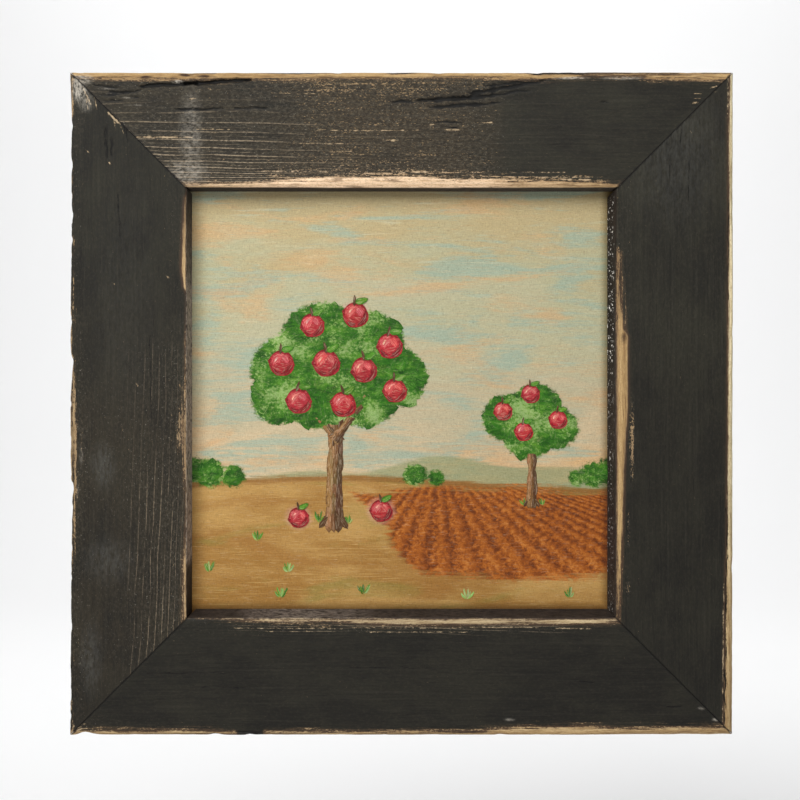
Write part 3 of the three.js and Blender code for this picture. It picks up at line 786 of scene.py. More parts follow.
class Finish:
    """A material made node by node: each call adds one node and gives back its output."""

    def __init__(self, name, **shader_values):
        self.material = bpy.data.materials.new(name)
        self.material.use_nodes = True
        self.nodes = self.material.node_tree.nodes
        self.nodes.clear()
        self.shader = self.nodes.new("ShaderNodeBsdfPrincipled")
        output = self.nodes.new("ShaderNodeOutputMaterial")
        self.join(self.shader.outputs["BSDF"], output.inputs["Surface"])
        for socket, value in shader_values.items():
            self.shader.inputs[socket.replace("_", " ")].default_value = value

    def join(self, source, socket):
        self.material.node_tree.links.new(source, socket)

    def feed(self, socket, value):
        if isinstance(value, bpy.types.NodeSocket):
            self.join(value, socket)
        elif value is not None:
            socket.default_value = value

    def node(self, kind, inputs=(), **settings):
        node = self.nodes.new(kind)
        for name, value in settings.items():
            setattr(node, name, value)
        for name, value in dict(inputs).items():
            self.feed(node.inputs[name], value)
        return node

    def object_place(self):
        return self.node("ShaderNodeTexCoord").outputs["Object"]

    def value(self, name, part="Fac"):
        return self.node("ShaderNodeAttribute", attribute_name=name).outputs[part]

    def stretched(self, vector, scale, move=(0, 0, 0)):
        inputs = {"Vector": vector, "Location": move, "Scale": scale}
        return self.node("ShaderNodeMapping", inputs).outputs["Vector"]

    def noise(self, vector, scale, detail, roughness, distortion=0.0, move=(0, 0, 0)):
        """scale has a number for each axis, so that noise can be drawn out one way; move shifts it."""
        inputs = {"Vector": self.stretched(vector, scale, move), "Scale": 1.0, "Detail": detail}
        inputs.update(Roughness=roughness, Distortion=distortion)
        return self.node("ShaderNodeTexNoise", inputs).outputs["Fac"]

    def math(self, operation, a, b=None, c=None, clamp=False):
        node = self.node("ShaderNodeMath", operation=operation, use_clamp=clamp)
        for socket, value in zip(node.inputs, (a, b, c)):
            self.feed(socket, value)
        return node.outputs[0]

    def add(self, a, b, clamp=False):
        return self.math("ADD", a, b, clamp=clamp)

    def minus(self, a, b):
        return self.math("SUBTRACT", a, b)

    def times(self, a, b, clamp=False):
        return self.math("MULTIPLY", a, b, clamp=clamp)

    def larger(self, a, b):
        return self.math("MAXIMUM", a, b)

    def swing(self, noise, size):
        """Turns noise from 0 to 1 into a swing of this size round zero."""
        return self.math("MULTIPLY_ADD", noise, size, -size / 2)

    def fade(self, value, start_at, end_at, low=0.0, high=1.0):
        inputs = {"Value": value, "From Min": start_at, "From Max": end_at, "To Min": low, "To Max": high}
        return self.node("ShaderNodeMapRange", inputs, interpolation_type="SMOOTHSTEP").outputs["Result"]

    def mix(self, amount, a, b, how="MIX"):
        node = self.node("ShaderNodeMix", data_type="RGBA", blend_type=how)
        for number, value in zip(MIX_SOCKETS, (amount, a, b)):
            self.feed(node.inputs[number], value)
        return node.outputs[2]

    def brush(self, under, over, noise, start_at, end_at, most=1.0):
        """Lays a colour over another where noise has passed start_at, as strongly as most from end_at."""
        return self.mix(self.fade(noise, start_at, end_at, 0.0, most), under, over)

    def tint(self, shade, by):
        return self.mix(1.0, shade, by, "MULTIPLY")

    def ramp(self, value, *stops):
        node = self.node("ShaderNodeValToRGB", {"Fac": value})
        elements = node.color_ramp.elements
        while len(elements) < len(stops):
            elements.new(0.5)
        for element, (position, shade) in zip(elements, stops):
            element.position, element.color = position, shade
        return node.outputs["Color"]

    def relief(self, height, depth):
        return self.node("ShaderNodeBump", {"Height": height, "Distance": depth}).outputs["Normal"]

    def paint(self, base=None, roughness=None, normal=None):
        self.feed(self.shader.inputs["Base Color"], base)
        self.feed(self.shader.inputs["Roughness"], roughness)
        self.feed(self.shader.inputs["Normal"], normal)
        return self.material


# %% [markdown]
# Matt black chalk paint over pine. The paint is never one black: it is warmer and browner where it
# has worn thin, and full of fine streaks along the grain. Bare wood shows where the board's own values
# say so, with a ragged border that comes from noise stretched along the grain, and thin broken lines
# of wood show on the crests of the growth rings. One material serves all four boards, because it reads
# places along and across a board, not places in the room.

# %% Paint over pine
paint = Finish("black_paint_over_pine", Specular_IOR_Level=0.2)
place = paint.value("place", "Vector")
ring_wave = paint.math("COSINE", paint.times(paint.value("ring"), 2 * math.pi))
half_ring_wave = paint.math("COSINE", paint.times(paint.value("ring"), 4 * math.pi))

long_streaks = paint.noise(place, (0.02, 0.9, 0.9), 4.0, 0.6)
fine_streaks = paint.noise(place, (0.12, 2.6, 2.6), 4.0, 0.65)
blotches = paint.noise(place, (0.03, 0.06, 0.06), 5.0, 0.6)
mottle = paint.noise(place, (0.45, 0.8, 0.8), 5.0, 0.75, move=(7, 1, 3))
grit = paint.noise(place, (0.8, 2.2, 2.2), 3.0, 0.6)
crumbs = paint.noise(place, (0.26, 0.7, 0.7), 4.0, 0.65, move=(40, 3, 9))
dashes = paint.noise(place, (0.11, 1.5, 1.5), 3.0, 0.6, move=(11, 30, 5))
flakes = paint.noise(place, (0.5, 1.25, 1.25), 4.0, 0.75, move=(19, 7, 2))
fleck_noise = paint.noise(place, (0.55, 0.7, 0.7), 3.0, 0.6, move=(31, 5, 28))
bristled = paint.noise(place, (0.035, 0.9, 0.9), 4.0, 0.65, move=(23, 9, 44))
specks = paint.noise(place, (0.8, 1.0, 1.0), 3.0, 0.7, move=(61, 17, 12))
stains = paint.noise(place, (0.07, 0.45, 0.45), 4.0, 0.65, move=(17, 2, 25))

# Bare wood: pale between the rings, golden on them, and darkened by what is left in its pores
wood_tone = paint.add(paint.times(ring_wave, 0.07), fine_streaks)
wood_shades = {
    "outer": (colour(190, 160, 114), colour(164, 134, 90), colour(118, 88, 56)),
    "pale": (colour(238, 228, 194), colour(214, 200, 160), colour(150, 132, 96)),
    "inner": (colour(246, 216, 184), colour(236, 204, 168), colour(206, 168, 128)),
}
outer_wood, pale_and_sunlit_wood, inner_wood = (
    paint.ramp(wood_tone, *zip((0.3, 0.5, 0.7), shades)) for shades in wood_shades.values()
)
# Pale wood, which on the right board's outer edge is partly a painted highlight
wood = paint.mix(paint.value("pale"), outer_wood, pale_and_sunlit_wood)
wood = paint.mix(paint.value("pinkish"), wood, inner_wood)
wood = paint.brush(wood, colour(124, 96, 64), grit, 0.48, 0.68, 0.5)
stain_share = paint.times(paint.fade(stains, 0.5, 0.66, 0.0, 0.4), paint.value("ragged"), clamp=True)
wood = paint.mix(stain_share, wood, colour(92, 68, 44))
deep_stain = paint.times(paint.value("stain"), paint.fade(crumbs, 0.32, 0.55, 0.3, 1.3), clamp=True)
wood = paint.mix(deep_stain, wood, colour(58, 40, 28))

# Raw pine on the back: each ring darkens slowly and ends sharply, some rings more than others. Paint
# that ran over the outer edge has a ragged border there.
ring_share = paint.math("FRACT", paint.value("ring"))
ring_depth = paint.noise(place, (0.006, 0.16, 0.16), 3.0, 0.6, move=(5, 12, 33))
latewood = paint.times(paint.fade(ring_share, 0.35, 0.92), paint.fade(ring_share, 1.0, 0.95))
latewood = paint.times(latewood, paint.fade(ring_depth, 0.3, 0.68, 0.12, 0.95))
raw_wood = paint.mix(paint.fade(blotches, 0.35, 0.65), colour(226, 196, 150), colour(206, 170, 122))
raw_wood = paint.mix(latewood, raw_wood, colour(168, 116, 68))
raw_wood = paint.brush(raw_wood, colour(150, 108, 70), fine_streaks, 0.5, 0.7, 0.4)
raw_wood = paint.brush(raw_wood, colour(244, 222, 184), fine_streaks, 0.45, 0.3, 0.35)
knot_wood = paint.mix(paint.fade(paint.value("knot"), 0.3, 1.0), colour(106, 64, 34), colour(150, 98, 56))
raw_wood = paint.mix(paint.fade(paint.value("knot"), 1.08, 0.96), raw_wood, knot_wood)
knot_rim = paint.fade(paint.math("ABSOLUTE", paint.minus(paint.value("knot"), 1.04)), 0.12, 0.02, 0.0, 0.7)
raw_wood = paint.mix(knot_rim, raw_wood, colour(72, 42, 24))
from_middle = paint.node("ShaderNodeSeparateXYZ", {"Vector": place}).outputs["Z"]
overrun = paint.add(from_middle, paint.swing(bristled, 9.0))
overrun = paint.fade(overrun, OUTER / MM - 1.8, OUTER / MM - 0.8, 0.0, 0.92)
raw_share = paint.times(paint.value("raw"), paint.minus(1.0, overrun), clamp=True)

# The coat: charcoal with a little olive, calm where it is thick, and broken up by mottle, dark dashes
# and thin brown patches where it was rubbed
rubbed_share = paint.add(paint.value("specks"), paint.times(paint.value("lined"), 0.5))
rubbed_share = paint.math("MULTIPLY_ADD", paint.value("brown"), 0.4, rubbed_share)
busy = paint.fade(rubbed_share, 0.1, 1.0, 0.22, 1.0)
dark_paint = paint.mix(paint.fade(blotches, 0.35, 0.65), colour(28, 27, 21), colour(39, 38, 29))
warm_paint = paint.mix(paint.fade(dashes, 0.35, 0.65), colour(44, 37, 27), colour(64, 54, 38))
brown_share = paint.times(paint.value("brown"), paint.fade(blotches, 0.2, 0.5), clamp=True)
coat = paint.mix(brown_share, dark_paint, warm_paint)
coat = paint.brush(coat, colour(20, 19, 16), long_streaks, 0.5, 0.7, 0.3)
coat = paint.brush(coat, colour(66, 63, 54), long_streaks, 0.48, 0.3, 0.15)
coat = paint.mix(paint.times(busy, paint.fade(mottle, 0.46, 0.66, 0.0, 0.6)), coat, colour(88, 82, 70))
coat = paint.mix(paint.times(busy, paint.fade(mottle, 0.5, 0.34, 0.0, 0.6)), coat, colour(18, 17, 15))
coat = paint.mix(paint.times(busy, paint.fade(flakes, 0.5, 0.38, 0.0, 0.6)), coat, colour(14, 13, 11))
coat = paint.brush(coat, colour(14, 12, 10), dashes, 0.56, 0.66, 0.45)
# Painted shade: the coat is darkened where thick is larger, towards the frame's bottom and right
coat = paint.mix(paint.value("thick"), coat, paint.tint(coat, colour(228, 224, 224)))
light_grains = paint.times(paint.fade(specks, 0.64, 0.7, 0.0, 0.5), paint.fade(rubbed_share, 0.1, 0.5))
coat = paint.mix(light_grains, coat, colour(150, 144, 130))
haze_share = paint.times(paint.value("haze"), paint.fade(crumbs, 0.3, 0.7), clamp=True)
coat = paint.mix(haze_share, coat, colour(98, 98, 94))

# Where wood shows: ragged sanded edges, specks, scratches, and thin broken lines on the ring crests
ragged = paint.add(paint.swing(crumbs, 2.4), paint.swing(flakes, 2.6))
ragged = paint.add(ragged, paint.swing(grit, 2.4))
ragged = paint.add(ragged, paint.swing(bristled, 7.0))
ragged = paint.times(ragged, paint.value("ragged"))
bare_depth = paint.add(paint.value("bare"), ragged)
edge_bare = paint.fade(bare_depth, -0.5, 0.6)
thin_coat = paint.fade(paint.add(bare_depth, ragged), -3.4, 0.4, 0.0, 0.9)
thin_coat = paint.times(thin_coat, paint.fade(paint.value("bare"), -5.5, -3.5))
edge_specks = paint.times(paint.times(thin_coat, 1.5), paint.value("ragged"))
speck_share = paint.larger(paint.value("specks"), edge_specks)
speck_floor = paint.math("MULTIPLY_ADD", speck_share, -0.25, 0.77)
speck_drifts = paint.add(paint.swing(blotches, 0.2), paint.swing(bristled, 0.4))
chips = paint.noise(place, (0.7, 1.5, 1.5), 3.0, 0.7, move=(9, 70, 2))
speck_noise = paint.add(chips, paint.math("MULTIPLY_ADD", crumbs, 0.3, speck_drifts))
speck_noise = paint.minus(speck_noise, 0.15)
speck_bare = paint.fade(paint.minus(speck_noise, speck_floor), 0.0, 0.12, 0.0, 0.75)
scratch_depth = paint.add(paint.value("scratch"), paint.math("MULTIPLY_ADD", flakes, 2.0, -1.1))
scratch_depth = paint.add(scratch_depth, paint.swing(crumbs, 2.0))
scratch_bare = paint.fade(scratch_depth, -0.2, 0.35, 0.0, 0.75)
line_noise = paint.noise(place, (0.03, 0.32, 0.32), 5.0, 0.72, move=(3, 8, 70))
line_width = paint.fade(line_noise, 0.34, 0.58, 1.04, 0.9)
line_width = paint.math("MULTIPLY_ADD", paint.value("lined"), -0.08, line_width)
ring_line = paint.fade(paint.minus(ring_wave, line_width), 0.0, 0.1)
half_line = paint.fade(paint.minus(half_ring_wave, paint.add(line_width, 0.05)), 0.0, 0.1, 0.0, 0.6)
line_bare = paint.times(paint.larger(ring_line, half_line), paint.fade(flakes, 0.38, 0.6, 0.2, 1.0))
line_bare = paint.times(line_bare, paint.value("lined"), clamp=True)
rubbed = paint.larger(speck_bare, scratch_bare)
bare_share = paint.larger(edge_bare, paint.larger(rubbed, paint.times(line_bare, 0.5)))

tan_coat = paint.times(paint.times(thin_coat, 0.6), paint.value("ragged"), clamp=True)
coat = paint.mix(tan_coat, coat, colour(104, 84, 60))
coat = paint.brush(coat, colour(70, 50, 36), bare_depth, -2.0, -0.2, 0.75)
speck_wood = paint.mix(0.65, wood, colour(172, 146, 112))
scratch_wood = paint.mix(0.65, wood, colour(206, 186, 156))
rubbed_wood = paint.mix(scratch_bare, speck_wood, scratch_wood)
showing = paint.mix(edge_bare, rubbed_wood, wood)
worn = paint.mix(bare_share, coat, showing)
worn = paint.mix(paint.times(line_bare, 0.4), worn, colour(176, 164, 144))
sight_tone = paint.mix(paint.fade(crumbs, 0.35, 0.7), colour(28, 22, 19), colour(48, 39, 34))
worn = paint.mix(paint.times(paint.value("sight"), 0.85), worn, sight_tone)
powder = paint.add(paint.times(crumbs, 0.5), paint.times(mottle, 0.5))
scuff = paint.times(paint.value("dust"), paint.fade(powder, 0.38, 0.62), clamp=True)
dust_tone = paint.mix(paint.value("sight"), colour(196, 188, 174), colour(158, 144, 132))
worn = paint.mix(scuff, worn, dust_tone)
worn = paint.mix(paint.times(paint.value("flecks"), 0.4, clamp=True), worn, colour(22, 17, 15))
fleck_share = paint.times(paint.value("flecks"), paint.fade(fleck_noise, 0.61, 0.65), clamp=True)
worn = paint.mix(fleck_share, worn, colour(246, 240, 232))
mitre_depth = paint.add(paint.value("mitre"), paint.swing(crumbs, 2.4))
mitre_depth = paint.add(mitre_depth, paint.swing(grit, 1.4))
worn = paint.brush(worn, colour(16, 14, 12), mitre_depth, 0.9, 0.25, 0.7)
# Cracks are coloured near black: partly the split's own dark, partly painted shade inside it
cut_depth = paint.add(paint.value("cut"), paint.swing(dashes, 2.4))
cut_depth = paint.add(cut_depth, paint.swing(grit, 1.6))
worn = paint.brush(worn, colour(22, 19, 15), cut_depth, -0.5, 0.0, 0.4)
worn = paint.brush(worn, colour(8, 7, 5), cut_depth, -0.05, 0.25, 0.96)
worn = paint.mix(raw_share, worn, raw_wood)
bare_or_raw = paint.larger(bare_share, raw_share)
sheen = paint.fade(mottle, 0.3, 0.7, 0.58, 0.74)
roughness = paint.add(sheen, paint.times(bare_or_raw, 0.12), clamp=True)
grain_relief = paint.add(paint.times(fine_streaks, 0.4), paint.times(mottle, 0.7))
grain_relief = paint.minus(grain_relief, paint.times(bare_share, 0.35))
black_paint = paint.paint(worn, roughness, paint.relief(grain_relief, 0.2 * MM))

# %% [markdown]
# Now the boards themselves. On the real frame each is a length of the same moulding, cut at 45 degrees
# at both ends. The same plank is planed, divided and worn four times, each time with its own list.

# %% Making the four boards
for side, wear in enumerate(BOARDS):
    board = planed_board("board_" + wear["name"])
    add_rows()
    wear_board(board, wear, side)
    finish_piece(board, black_paint, "painted_pine", "rail_" + wear["name"], smooth=40)

# %% [markdown]
# The picture is a print with the relief of a brushed painting, on a stiff sheet. The printed picture is
# a folk landscape: a brushed cream sky, an ochre ground, a ploughed terracotta field and two fruit trees.
# Soft masses of colour are kept as distances to their borders, one number for each point of the sheet.
# The material turns a distance into a border as crisp or as ragged as a brush would leave it.

# %% Shapes in the picture
SHEET_REACH = 121  # from the picture's middle, in millimetres; the rest lies behind the boards' lip
SKY_SPAN = 240  # how high the sky's colours reach from first to last
PICTURE_Z = (print_low.z + print_high.z) / 2
HORIZON = -46
VANISHING_X, VANISHING_Z = 22, -30  # where the furrows would meet
CROWN_LOBES = [
    (-66, 20, 22), (-46, 36, 25), (-20, 34, 22), (-4, 16, 19), (-22, 6, 21), (-48, 6, 22),
    (-72, 2, 15), (-36, 20, 28), (62, -8, 15), (78, -2, 15), (90, -14, 13), (74, -18, 15),
]
BUSH_LOBES = [
    (-112, -40, 9), (-98, -42, 7), (-122, -38, 8), (8, -41, 7), (20, -43, 5), (112, -41, 8),
    (122, -39, 9), (102, -43, 5),
]
FRUIT_PLACES = [
    (-70, 24, 7.5), (-52, 46, 7), (-27, 52, 7.5), (-7, 34, 7.5), (-44, 24, 8), (-22, 20, 7.5),
    (-60, 2, 7.5), (-34, 0, 7.5), (-4, 8, 7), (59, -4, 5.5), (75, 6, 5.5), (91, -9, 5.5),
    (71, -16, 5.5), (-12, -62, 6.5), (-60, -66, 6),
]


def lobes_distance(x, z, lobes):
    """Millimetres inside the nearest round lobe; below zero outside them all."""
    inside = np.full_like(x, -1000.0)
    for lobe_x, lobe_z, radius in lobes:
        inside = np.maximum(inside, radius - np.hypot(x - lobe_x, (z - lobe_z) * 1.08))
    return inside


def far_hill(x):
    return HORIZON + 9 + 5 * np.sin(x / 34 + 0.6) + 2.5 * np.sin(x / 13)


def near_hill(x):
    return HORIZON + 1 + 3.5 * np.sin(x / 47 + 2.4)


def field_distance(x, z):
    top_edge = -51 + 3 * np.sin(x / 40 + 0.5) + 1.2 * np.sin(x / 9)
    bottom_edge = -104 + 0.05 * x + 4 * np.sin(x / 24 + 1)
    left_edge = -26 - 0.75 * (z + 52) + 3 * np.sin(z / 6)
    return np.minimum(np.minimum(top_edge - z, z - bottom_edge), (x - left_edge) * 0.8)


# %% [markdown]
# The sheet is a fine grid, because the brushed relief is raised in the mesh and not only drawn. Its
# border is drawn back to the sheet's thickness and closed behind.

# %% The printed sheet
SHEET_CELLS = 282


def printed_sheet():
    sheet = start(
        "printed_sheet",
        bpy.ops.mesh.primitive_grid_add,
        x_subdivisions=SHEET_CELLS,
        y_subdivisions=SHEET_CELLS,
        size=print_high.x - print_low.x,
        location=(0, print_low.y, PICTURE_Z),
        rotation=(math.radians(90), 0, 0),
    )
    bpy.ops.mesh.select_mode(type="EDGE")
    pick("EDGE", lambda edge: edge.is_boundary)
    extrude(y=print_high.y - print_low.y)
    bpy.ops.mesh.edge_face_add()
    bpy.ops.object.mode_set(mode="OBJECT")
    points = points_of(sheet)
    x, z = points[:, 0] / MM, (points[:, 2] - PICTURE_Z) / MM
    in_front = points[:, 1] < print_low.y + 0.01 * MM
    brushed = 0.06 * rough_hills(x / 16, z / 1.3, 901) + 0.05 * rough_hills(x / 3, z / 2.4, 905)
    leafy = fade(lobes_distance(x, z, CROWN_LOBES + BUSH_LOBES), -1, 2)
    under_leaves = 0.12 * leafy * (1 + rough_hills(x / 2.2, z / 2.2, 909))
    visible = fade(np.maximum(np.abs(x), np.abs(z)), SHEET_REACH, SHEET_REACH - 3)
    points[:, 1] -= (brushed + under_leaves) * visible * in_front * MM
    move_points(sheet, points)
    # Painted shade: the picture darkens near the sight edges, where the boards' lip shades it, strongest at
    # the right and bottom, weaker at the left and top, and a little towards the right.
    shown_right, shown_left = INNER / MM - x, INNER / MM + x
    shown_top, shown_bottom = INNER / MM - z, INNER / MM + z
    grime = np.maximum(0.4 * fade(shown_left, 13, 2), 0.15 * fade(shown_top, 9, 1)) + 0.1 * fade(x, -80, 60)
    deep_grime = np.maximum(fade(shown_right, 10, 2), fade(shown_bottom, 10, 3))
    keep_values(
        sheet,
        leaves=lobes_distance(x, z, CROWN_LOBES),
        bushes=lobes_distance(x, z, BUSH_LOBES),
        far_hill=far_hill(x) - z,
        near_hill=near_hill(x) - z,
        field=field_distance(x, z),
        furrows=(x - VANISHING_X) / np.maximum(VANISHING_Z - z, 4),
        halo=lobes_distance(x, z, FRUIT_PLACES),
        grime=np.maximum(grime, deep_grime),
    )
    return sheet


# %% [markdown]
# The brushwork is noise pulled out sideways: broad drifts choose between the sky's creams, sages and
# blues, thinner streaks lay one over the other, and the canvas shows through everything as threads
# that cross. Leaves are greens sponged over each other, and the same sponge goes over the thick paint
# that is laid on later, so both need it: it is a function of the finish that it works on.

# %% Printed colours
LEAF_SHADES = [
    colour(20, 66, 4), colour(42, 98, 12), colour(80, 128, 34), colour(132, 162, 88), colour(158, 182, 118),
]
GROUND_SHADE = colour(158, 116, 54)


def canvas_of(finish, sheet_place):
    """Threads both ways, as 0 to 1, and the pores between them, as a share that lies deeper."""
    flat = finish.noise(sheet_place, (0.35, 1, 2.3), 3.0, 0.7, move=(5, 0, 1))
    upright = finish.noise(sheet_place, (2.3, 1, 0.3), 3.0, 0.7, move=(8, 0, 3))
    pores = finish.noise(sheet_place, (0.9, 1, 1.3), 4.0, 0.75, move=(2, 0, 6))
    return finish.times(finish.add(flat, upright), 0.5), pores


def weathered(finish, shade, canvas, pores):
    """Lets the canvas and the age of the varnish show through a picture's colours."""
    dim = finish.tint(shade, (0.42, 0.38, 0.3, 1.0))
    lit = finish.tint(shade, (1.5, 1.45, 1.35, 1.0))
    shade = finish.brush(shade, dim, canvas, 0.52, 0.66, 0.5)
    shade = finish.brush(shade, lit, canvas, 0.48, 0.36, 0.5)
    shade = finish.brush(shade, dim, pores, 0.56, 0.68, 0.6)
    return finish.brush(shade, lit, pores, 0.44, 0.32, 0.55)


def sponged_leaves(finish, sheet_place):
    """Dark green, then mid green brushed over it, then pale sage dabbed on with a sponge in places."""
    brushed = finish.noise(sheet_place, (0.13, 1, 0.3), 5.0, 0.65, 0.8, move=(4, 0, 9))
    clumps = finish.noise(sheet_place, (0.06, 1, 0.07), 3.0, 0.5, move=(14, 0, 2))
    stipple = finish.noise(sheet_place, (0.6, 1, 0.7), 4.0, 0.75, move=(1, 0, 5))
    tone = finish.add(brushed, finish.swing(clumps, 0.6))
    greens = finish.ramp(tone, (0.34, LEAF_SHADES[0]), (0.5, LEAF_SHADES[1]), (0.64, LEAF_SHADES[2]))
    dabs = finish.add(stipple, finish.swing(clumps, 1.1))
    greens = finish.brush(greens, LEAF_SHADES[3], dabs, 0.54, 0.66, 0.8)
    return finish.brush(greens, LEAF_SHADES[4], dabs, 0.64, 0.76, 0.7)


printed = Finish("brushed_print", Specular_IOR_Level=0.2)
sheet_place = printed.stretched(printed.object_place(), (1000, 1000, 1000), move=(0, 0, -PICTURE_Z / MM))
height = printed.node("ShaderNodeSeparateXYZ", {"Vector": sheet_place}).outputs["Z"]


def brushed(scale_x, scale_z, move, detail, roughness, distortion):
    return printed.noise(sheet_place, (scale_x, 1, scale_z), detail, roughness, distortion, move)


drifts = brushed(0.011, 0.035, (0, 0, 0), 4.0, 0.55, 0.6)
warm_drifts = brushed(0.012, 0.05, (31, 0, 7), 4.0, 0.55, 0.8)
cool_drifts = brushed(0.014, 0.06, (77, 0, 21), 4.0, 0.6, 0.8)
streaks = brushed(0.03, 0.55, (3, 0, 2), 5.0, 0.62, 0.5)
thin_streaks = brushed(0.045, 1.1, (13, 0, 12), 4.0, 0.65, 0.3)
bristles = brushed(0.14, 2.2, (9, 0, 4), 4.0, 0.7, 0.2)
sponge = brushed(0.36, 0.42, (1, 0, 8), 5.0, 0.68, 0.5)
canvas, pores = canvas_of(printed, sheet_place)

sky_height = printed.math("MULTIPLY_ADD", height, 1 / SKY_SPAN, 0.5)
sky_height = printed.add(sky_height, printed.swing(drifts, 0.7))
sky = printed.ramp(
    sky_height,
    (0.25, colour(198, 162, 116)), (0.4, colour(192, 172, 138)), (0.52, colour(176, 166, 136)),
    (0.64, colour(174, 169, 138)), (0.8, colour(170, 166, 133)), (0.95, colour(174, 158, 118)),
)
cool = printed.add(cool_drifts, printed.times(streaks, 0.5))
sky = printed.brush(sky, colour(146, 164, 146), cool, 0.73, 0.9, 0.8)
warm = printed.add(warm_drifts, printed.times(thin_streaks, 0.5))
sky = printed.brush(sky, colour(200, 154, 104), warm, 0.76, 0.92, 0.5)
sky = printed.brush(sky, colour(138, 164, 150), thin_streaks, 0.58, 0.7, 0.5)
sky = printed.brush(sky, colour(198, 158, 114), thin_streaks, 0.42, 0.32, 0.4)
sky = printed.brush(sky, colour(200, 190, 156), streaks, 0.56, 0.72, 0.4)

ragged_line = printed.swing(streaks, 7.0)
far_mask = printed.fade(printed.add(printed.value("far_hill"), ragged_line), -1.0, 1.6, 0.0, 0.8)
far_drifts = printed.fade(warm_drifts, 0.35, 0.65)
far_colour = printed.mix(far_drifts, colour(152, 148, 104), colour(126, 138, 102))
picture = printed.mix(far_mask, sky, far_colour)
ground = printed.mix(printed.fade(drifts, 0.35, 0.65), colour(148, 106, 48), colour(176, 138, 78))
ground = printed.brush(ground, colour(190, 154, 94), thin_streaks, 0.5, 0.7, 0.6)
ground = printed.brush(ground, colour(140, 92, 36), warm_drifts, 0.5, 0.7, 0.5)
ground = printed.brush(ground, colour(126, 120, 56), cool_drifts, 0.52, 0.7, 0.5)
near_mask = printed.fade(printed.add(printed.value("near_hill"), ragged_line), -0.8, 1.0)
picture = printed.mix(near_mask, picture, ground)
rim_place = printed.add(printed.value("near_hill"), printed.math("MULTIPLY_ADD", streaks, 6.0, -4.6))
rim = printed.fade(printed.math("ABSOLUTE", rim_place), 3.0, 0.4, 0.0, 0.7)
picture = printed.mix(rim, picture, colour(124, 80, 34))

furrow_turn = printed.math("MULTIPLY_ADD", printed.value("furrows"), 26.0, printed.times(sponge, 3.0))
field_tone = printed.math("MULTIPLY_ADD", printed.math("SINE", furrow_turn), 0.075, sponge)
field_tone = printed.add(field_tone, printed.swing(drifts, 0.4))
field_colour = printed.ramp(
    field_tone,
    (0.34, colour(100, 46, 6)), (0.46, colour(134, 68, 14)),
    (0.58, colour(160, 88, 24)), (0.7, colour(182, 112, 46)),
)
field_edge = printed.add(printed.swing(streaks, 16.0), printed.swing(sponge, 8.0))
field_mask = printed.fade(printed.add(printed.value("field"), field_edge), -2.0, 3.0)
picture = printed.mix(field_mask, picture, field_colour)

halo_edge = printed.add(printed.value("halo"), printed.swing(streaks, 5.0))
picture = printed.brush(picture, colour(206, 150, 138), halo_edge, -3.5, 1.5, 0.45)
leaf_edge = printed.add(printed.times(sponge, 9.0), printed.times(canvas, 2.0))
leaf_field = printed.larger(printed.value("leaves"), printed.value("bushes"))
leaf_mask = printed.fade(printed.add(leaf_field, printed.minus(leaf_edge, 5.5)), -1.2, 1.2)
picture = printed.mix(leaf_mask, picture, sponged_leaves(printed, sheet_place))

picture = printed.brush(picture, colour(112, 86, 54), bristles, 0.52, 0.76, 0.3)
picture = printed.brush(picture, colour(232, 220, 190), bristles, 0.46, 0.26, 0.24)
picture = weathered(printed, picture, canvas, pores)
# Painted shade near the sight edges, where the boards' lip shades the picture
picture = printed.mix(printed.value("grime"), picture, printed.tint(picture, colour(150, 138, 112)))
sheet_relief = printed.add(printed.times(bristles, 0.5), printed.add(canvas, pores))
print_sheen = printed.fade(canvas, 0.3, 0.7, 0.55, 0.66)
print_finish = printed.paint(picture, print_sheen, printed.relief(sheet_relief, 0.15 * MM))
finish_piece(printed_sheet(), print_finish, "picture_print", "picture_print", smooth=60)

# %% [markdown]
# Trunks, leaves and fruit are single strokes of thicker paint. One stroke is shaped once: a small grid
# drawn to a rounded leaf, higher in the middle, with a skirt down into the sheet. Copies of it are then
# laid down, each turned, stretched, bent and coloured, as a brush repeats the same touch. A second,
# finer one is drawn to a round, for the fruit.

# %% Two brush strokes
LOWER_SIDES, LOWER_ENDS = 0.45, 0.3  # how far a stroke falls away from its middle, by share
SKIRT = -1.5  # its border reaches down into the sheet


def brush_stroke(columns, rows, roundness, taper):
    """Gives a stroke's points, its faces, and for each point the place along and across it and its rim."""
    stroke = start(
        "brush_stroke",
        bpy.ops.mesh.primitive_grid_add,
        x_subdivisions=columns,
        y_subdivisions=rows,
        size=1,
    )
    pick("EDGE", lambda edge: edge.is_boundary)
    extrude(z=-1)
    bpy.ops.mesh.edge_face_add()
    bpy.ops.mesh.select_all(action="SELECT")
    bpy.ops.mesh.normals_make_consistent(inside=False)
    bpy.ops.object.mode_set(mode="OBJECT")
    points = points_of(stroke)
    u, v = np.sin(points[:, 0] * math.pi), points[:, 1] * 2
    outline = np.sqrt(np.clip(1 - np.abs(u) ** roundness, 0.003, 1)) * (1 - taper * u)
    on_top = points[:, 2] > -0.5
    height = np.where(on_top, 1 - LOWER_SIDES * v**2 - LOWER_ENDS * u**4, SKIRT)
    shape = np.column_stack([u * (1 - 0.12 * v**2), v * outline, height])
    faces = [tuple(face.vertices) for face in stroke.data.polygons]
    bpy.data.objects.remove(stroke)
    return shape, faces, np.column_stack([u, v, np.zeros_like(u)]), 1 - np.maximum(np.abs(u), np.abs(v))


LONG_TOUCH, ROUND_TOUCH = brush_stroke(7, 5, 2.8, 0.2), brush_stroke(13, 9, 2.0, 0.0)
print("a long touch has", len(LONG_TOUCH[1]), "faces, and a round one", len(ROUND_TOUCH[1]))


LIFT_STEP = 0.0004  # each stroke lies this much higher than the one before, in millimetres
NOISE_STEP = 3.7  # how far apart two strokes read the noise, so that no two have the same marks


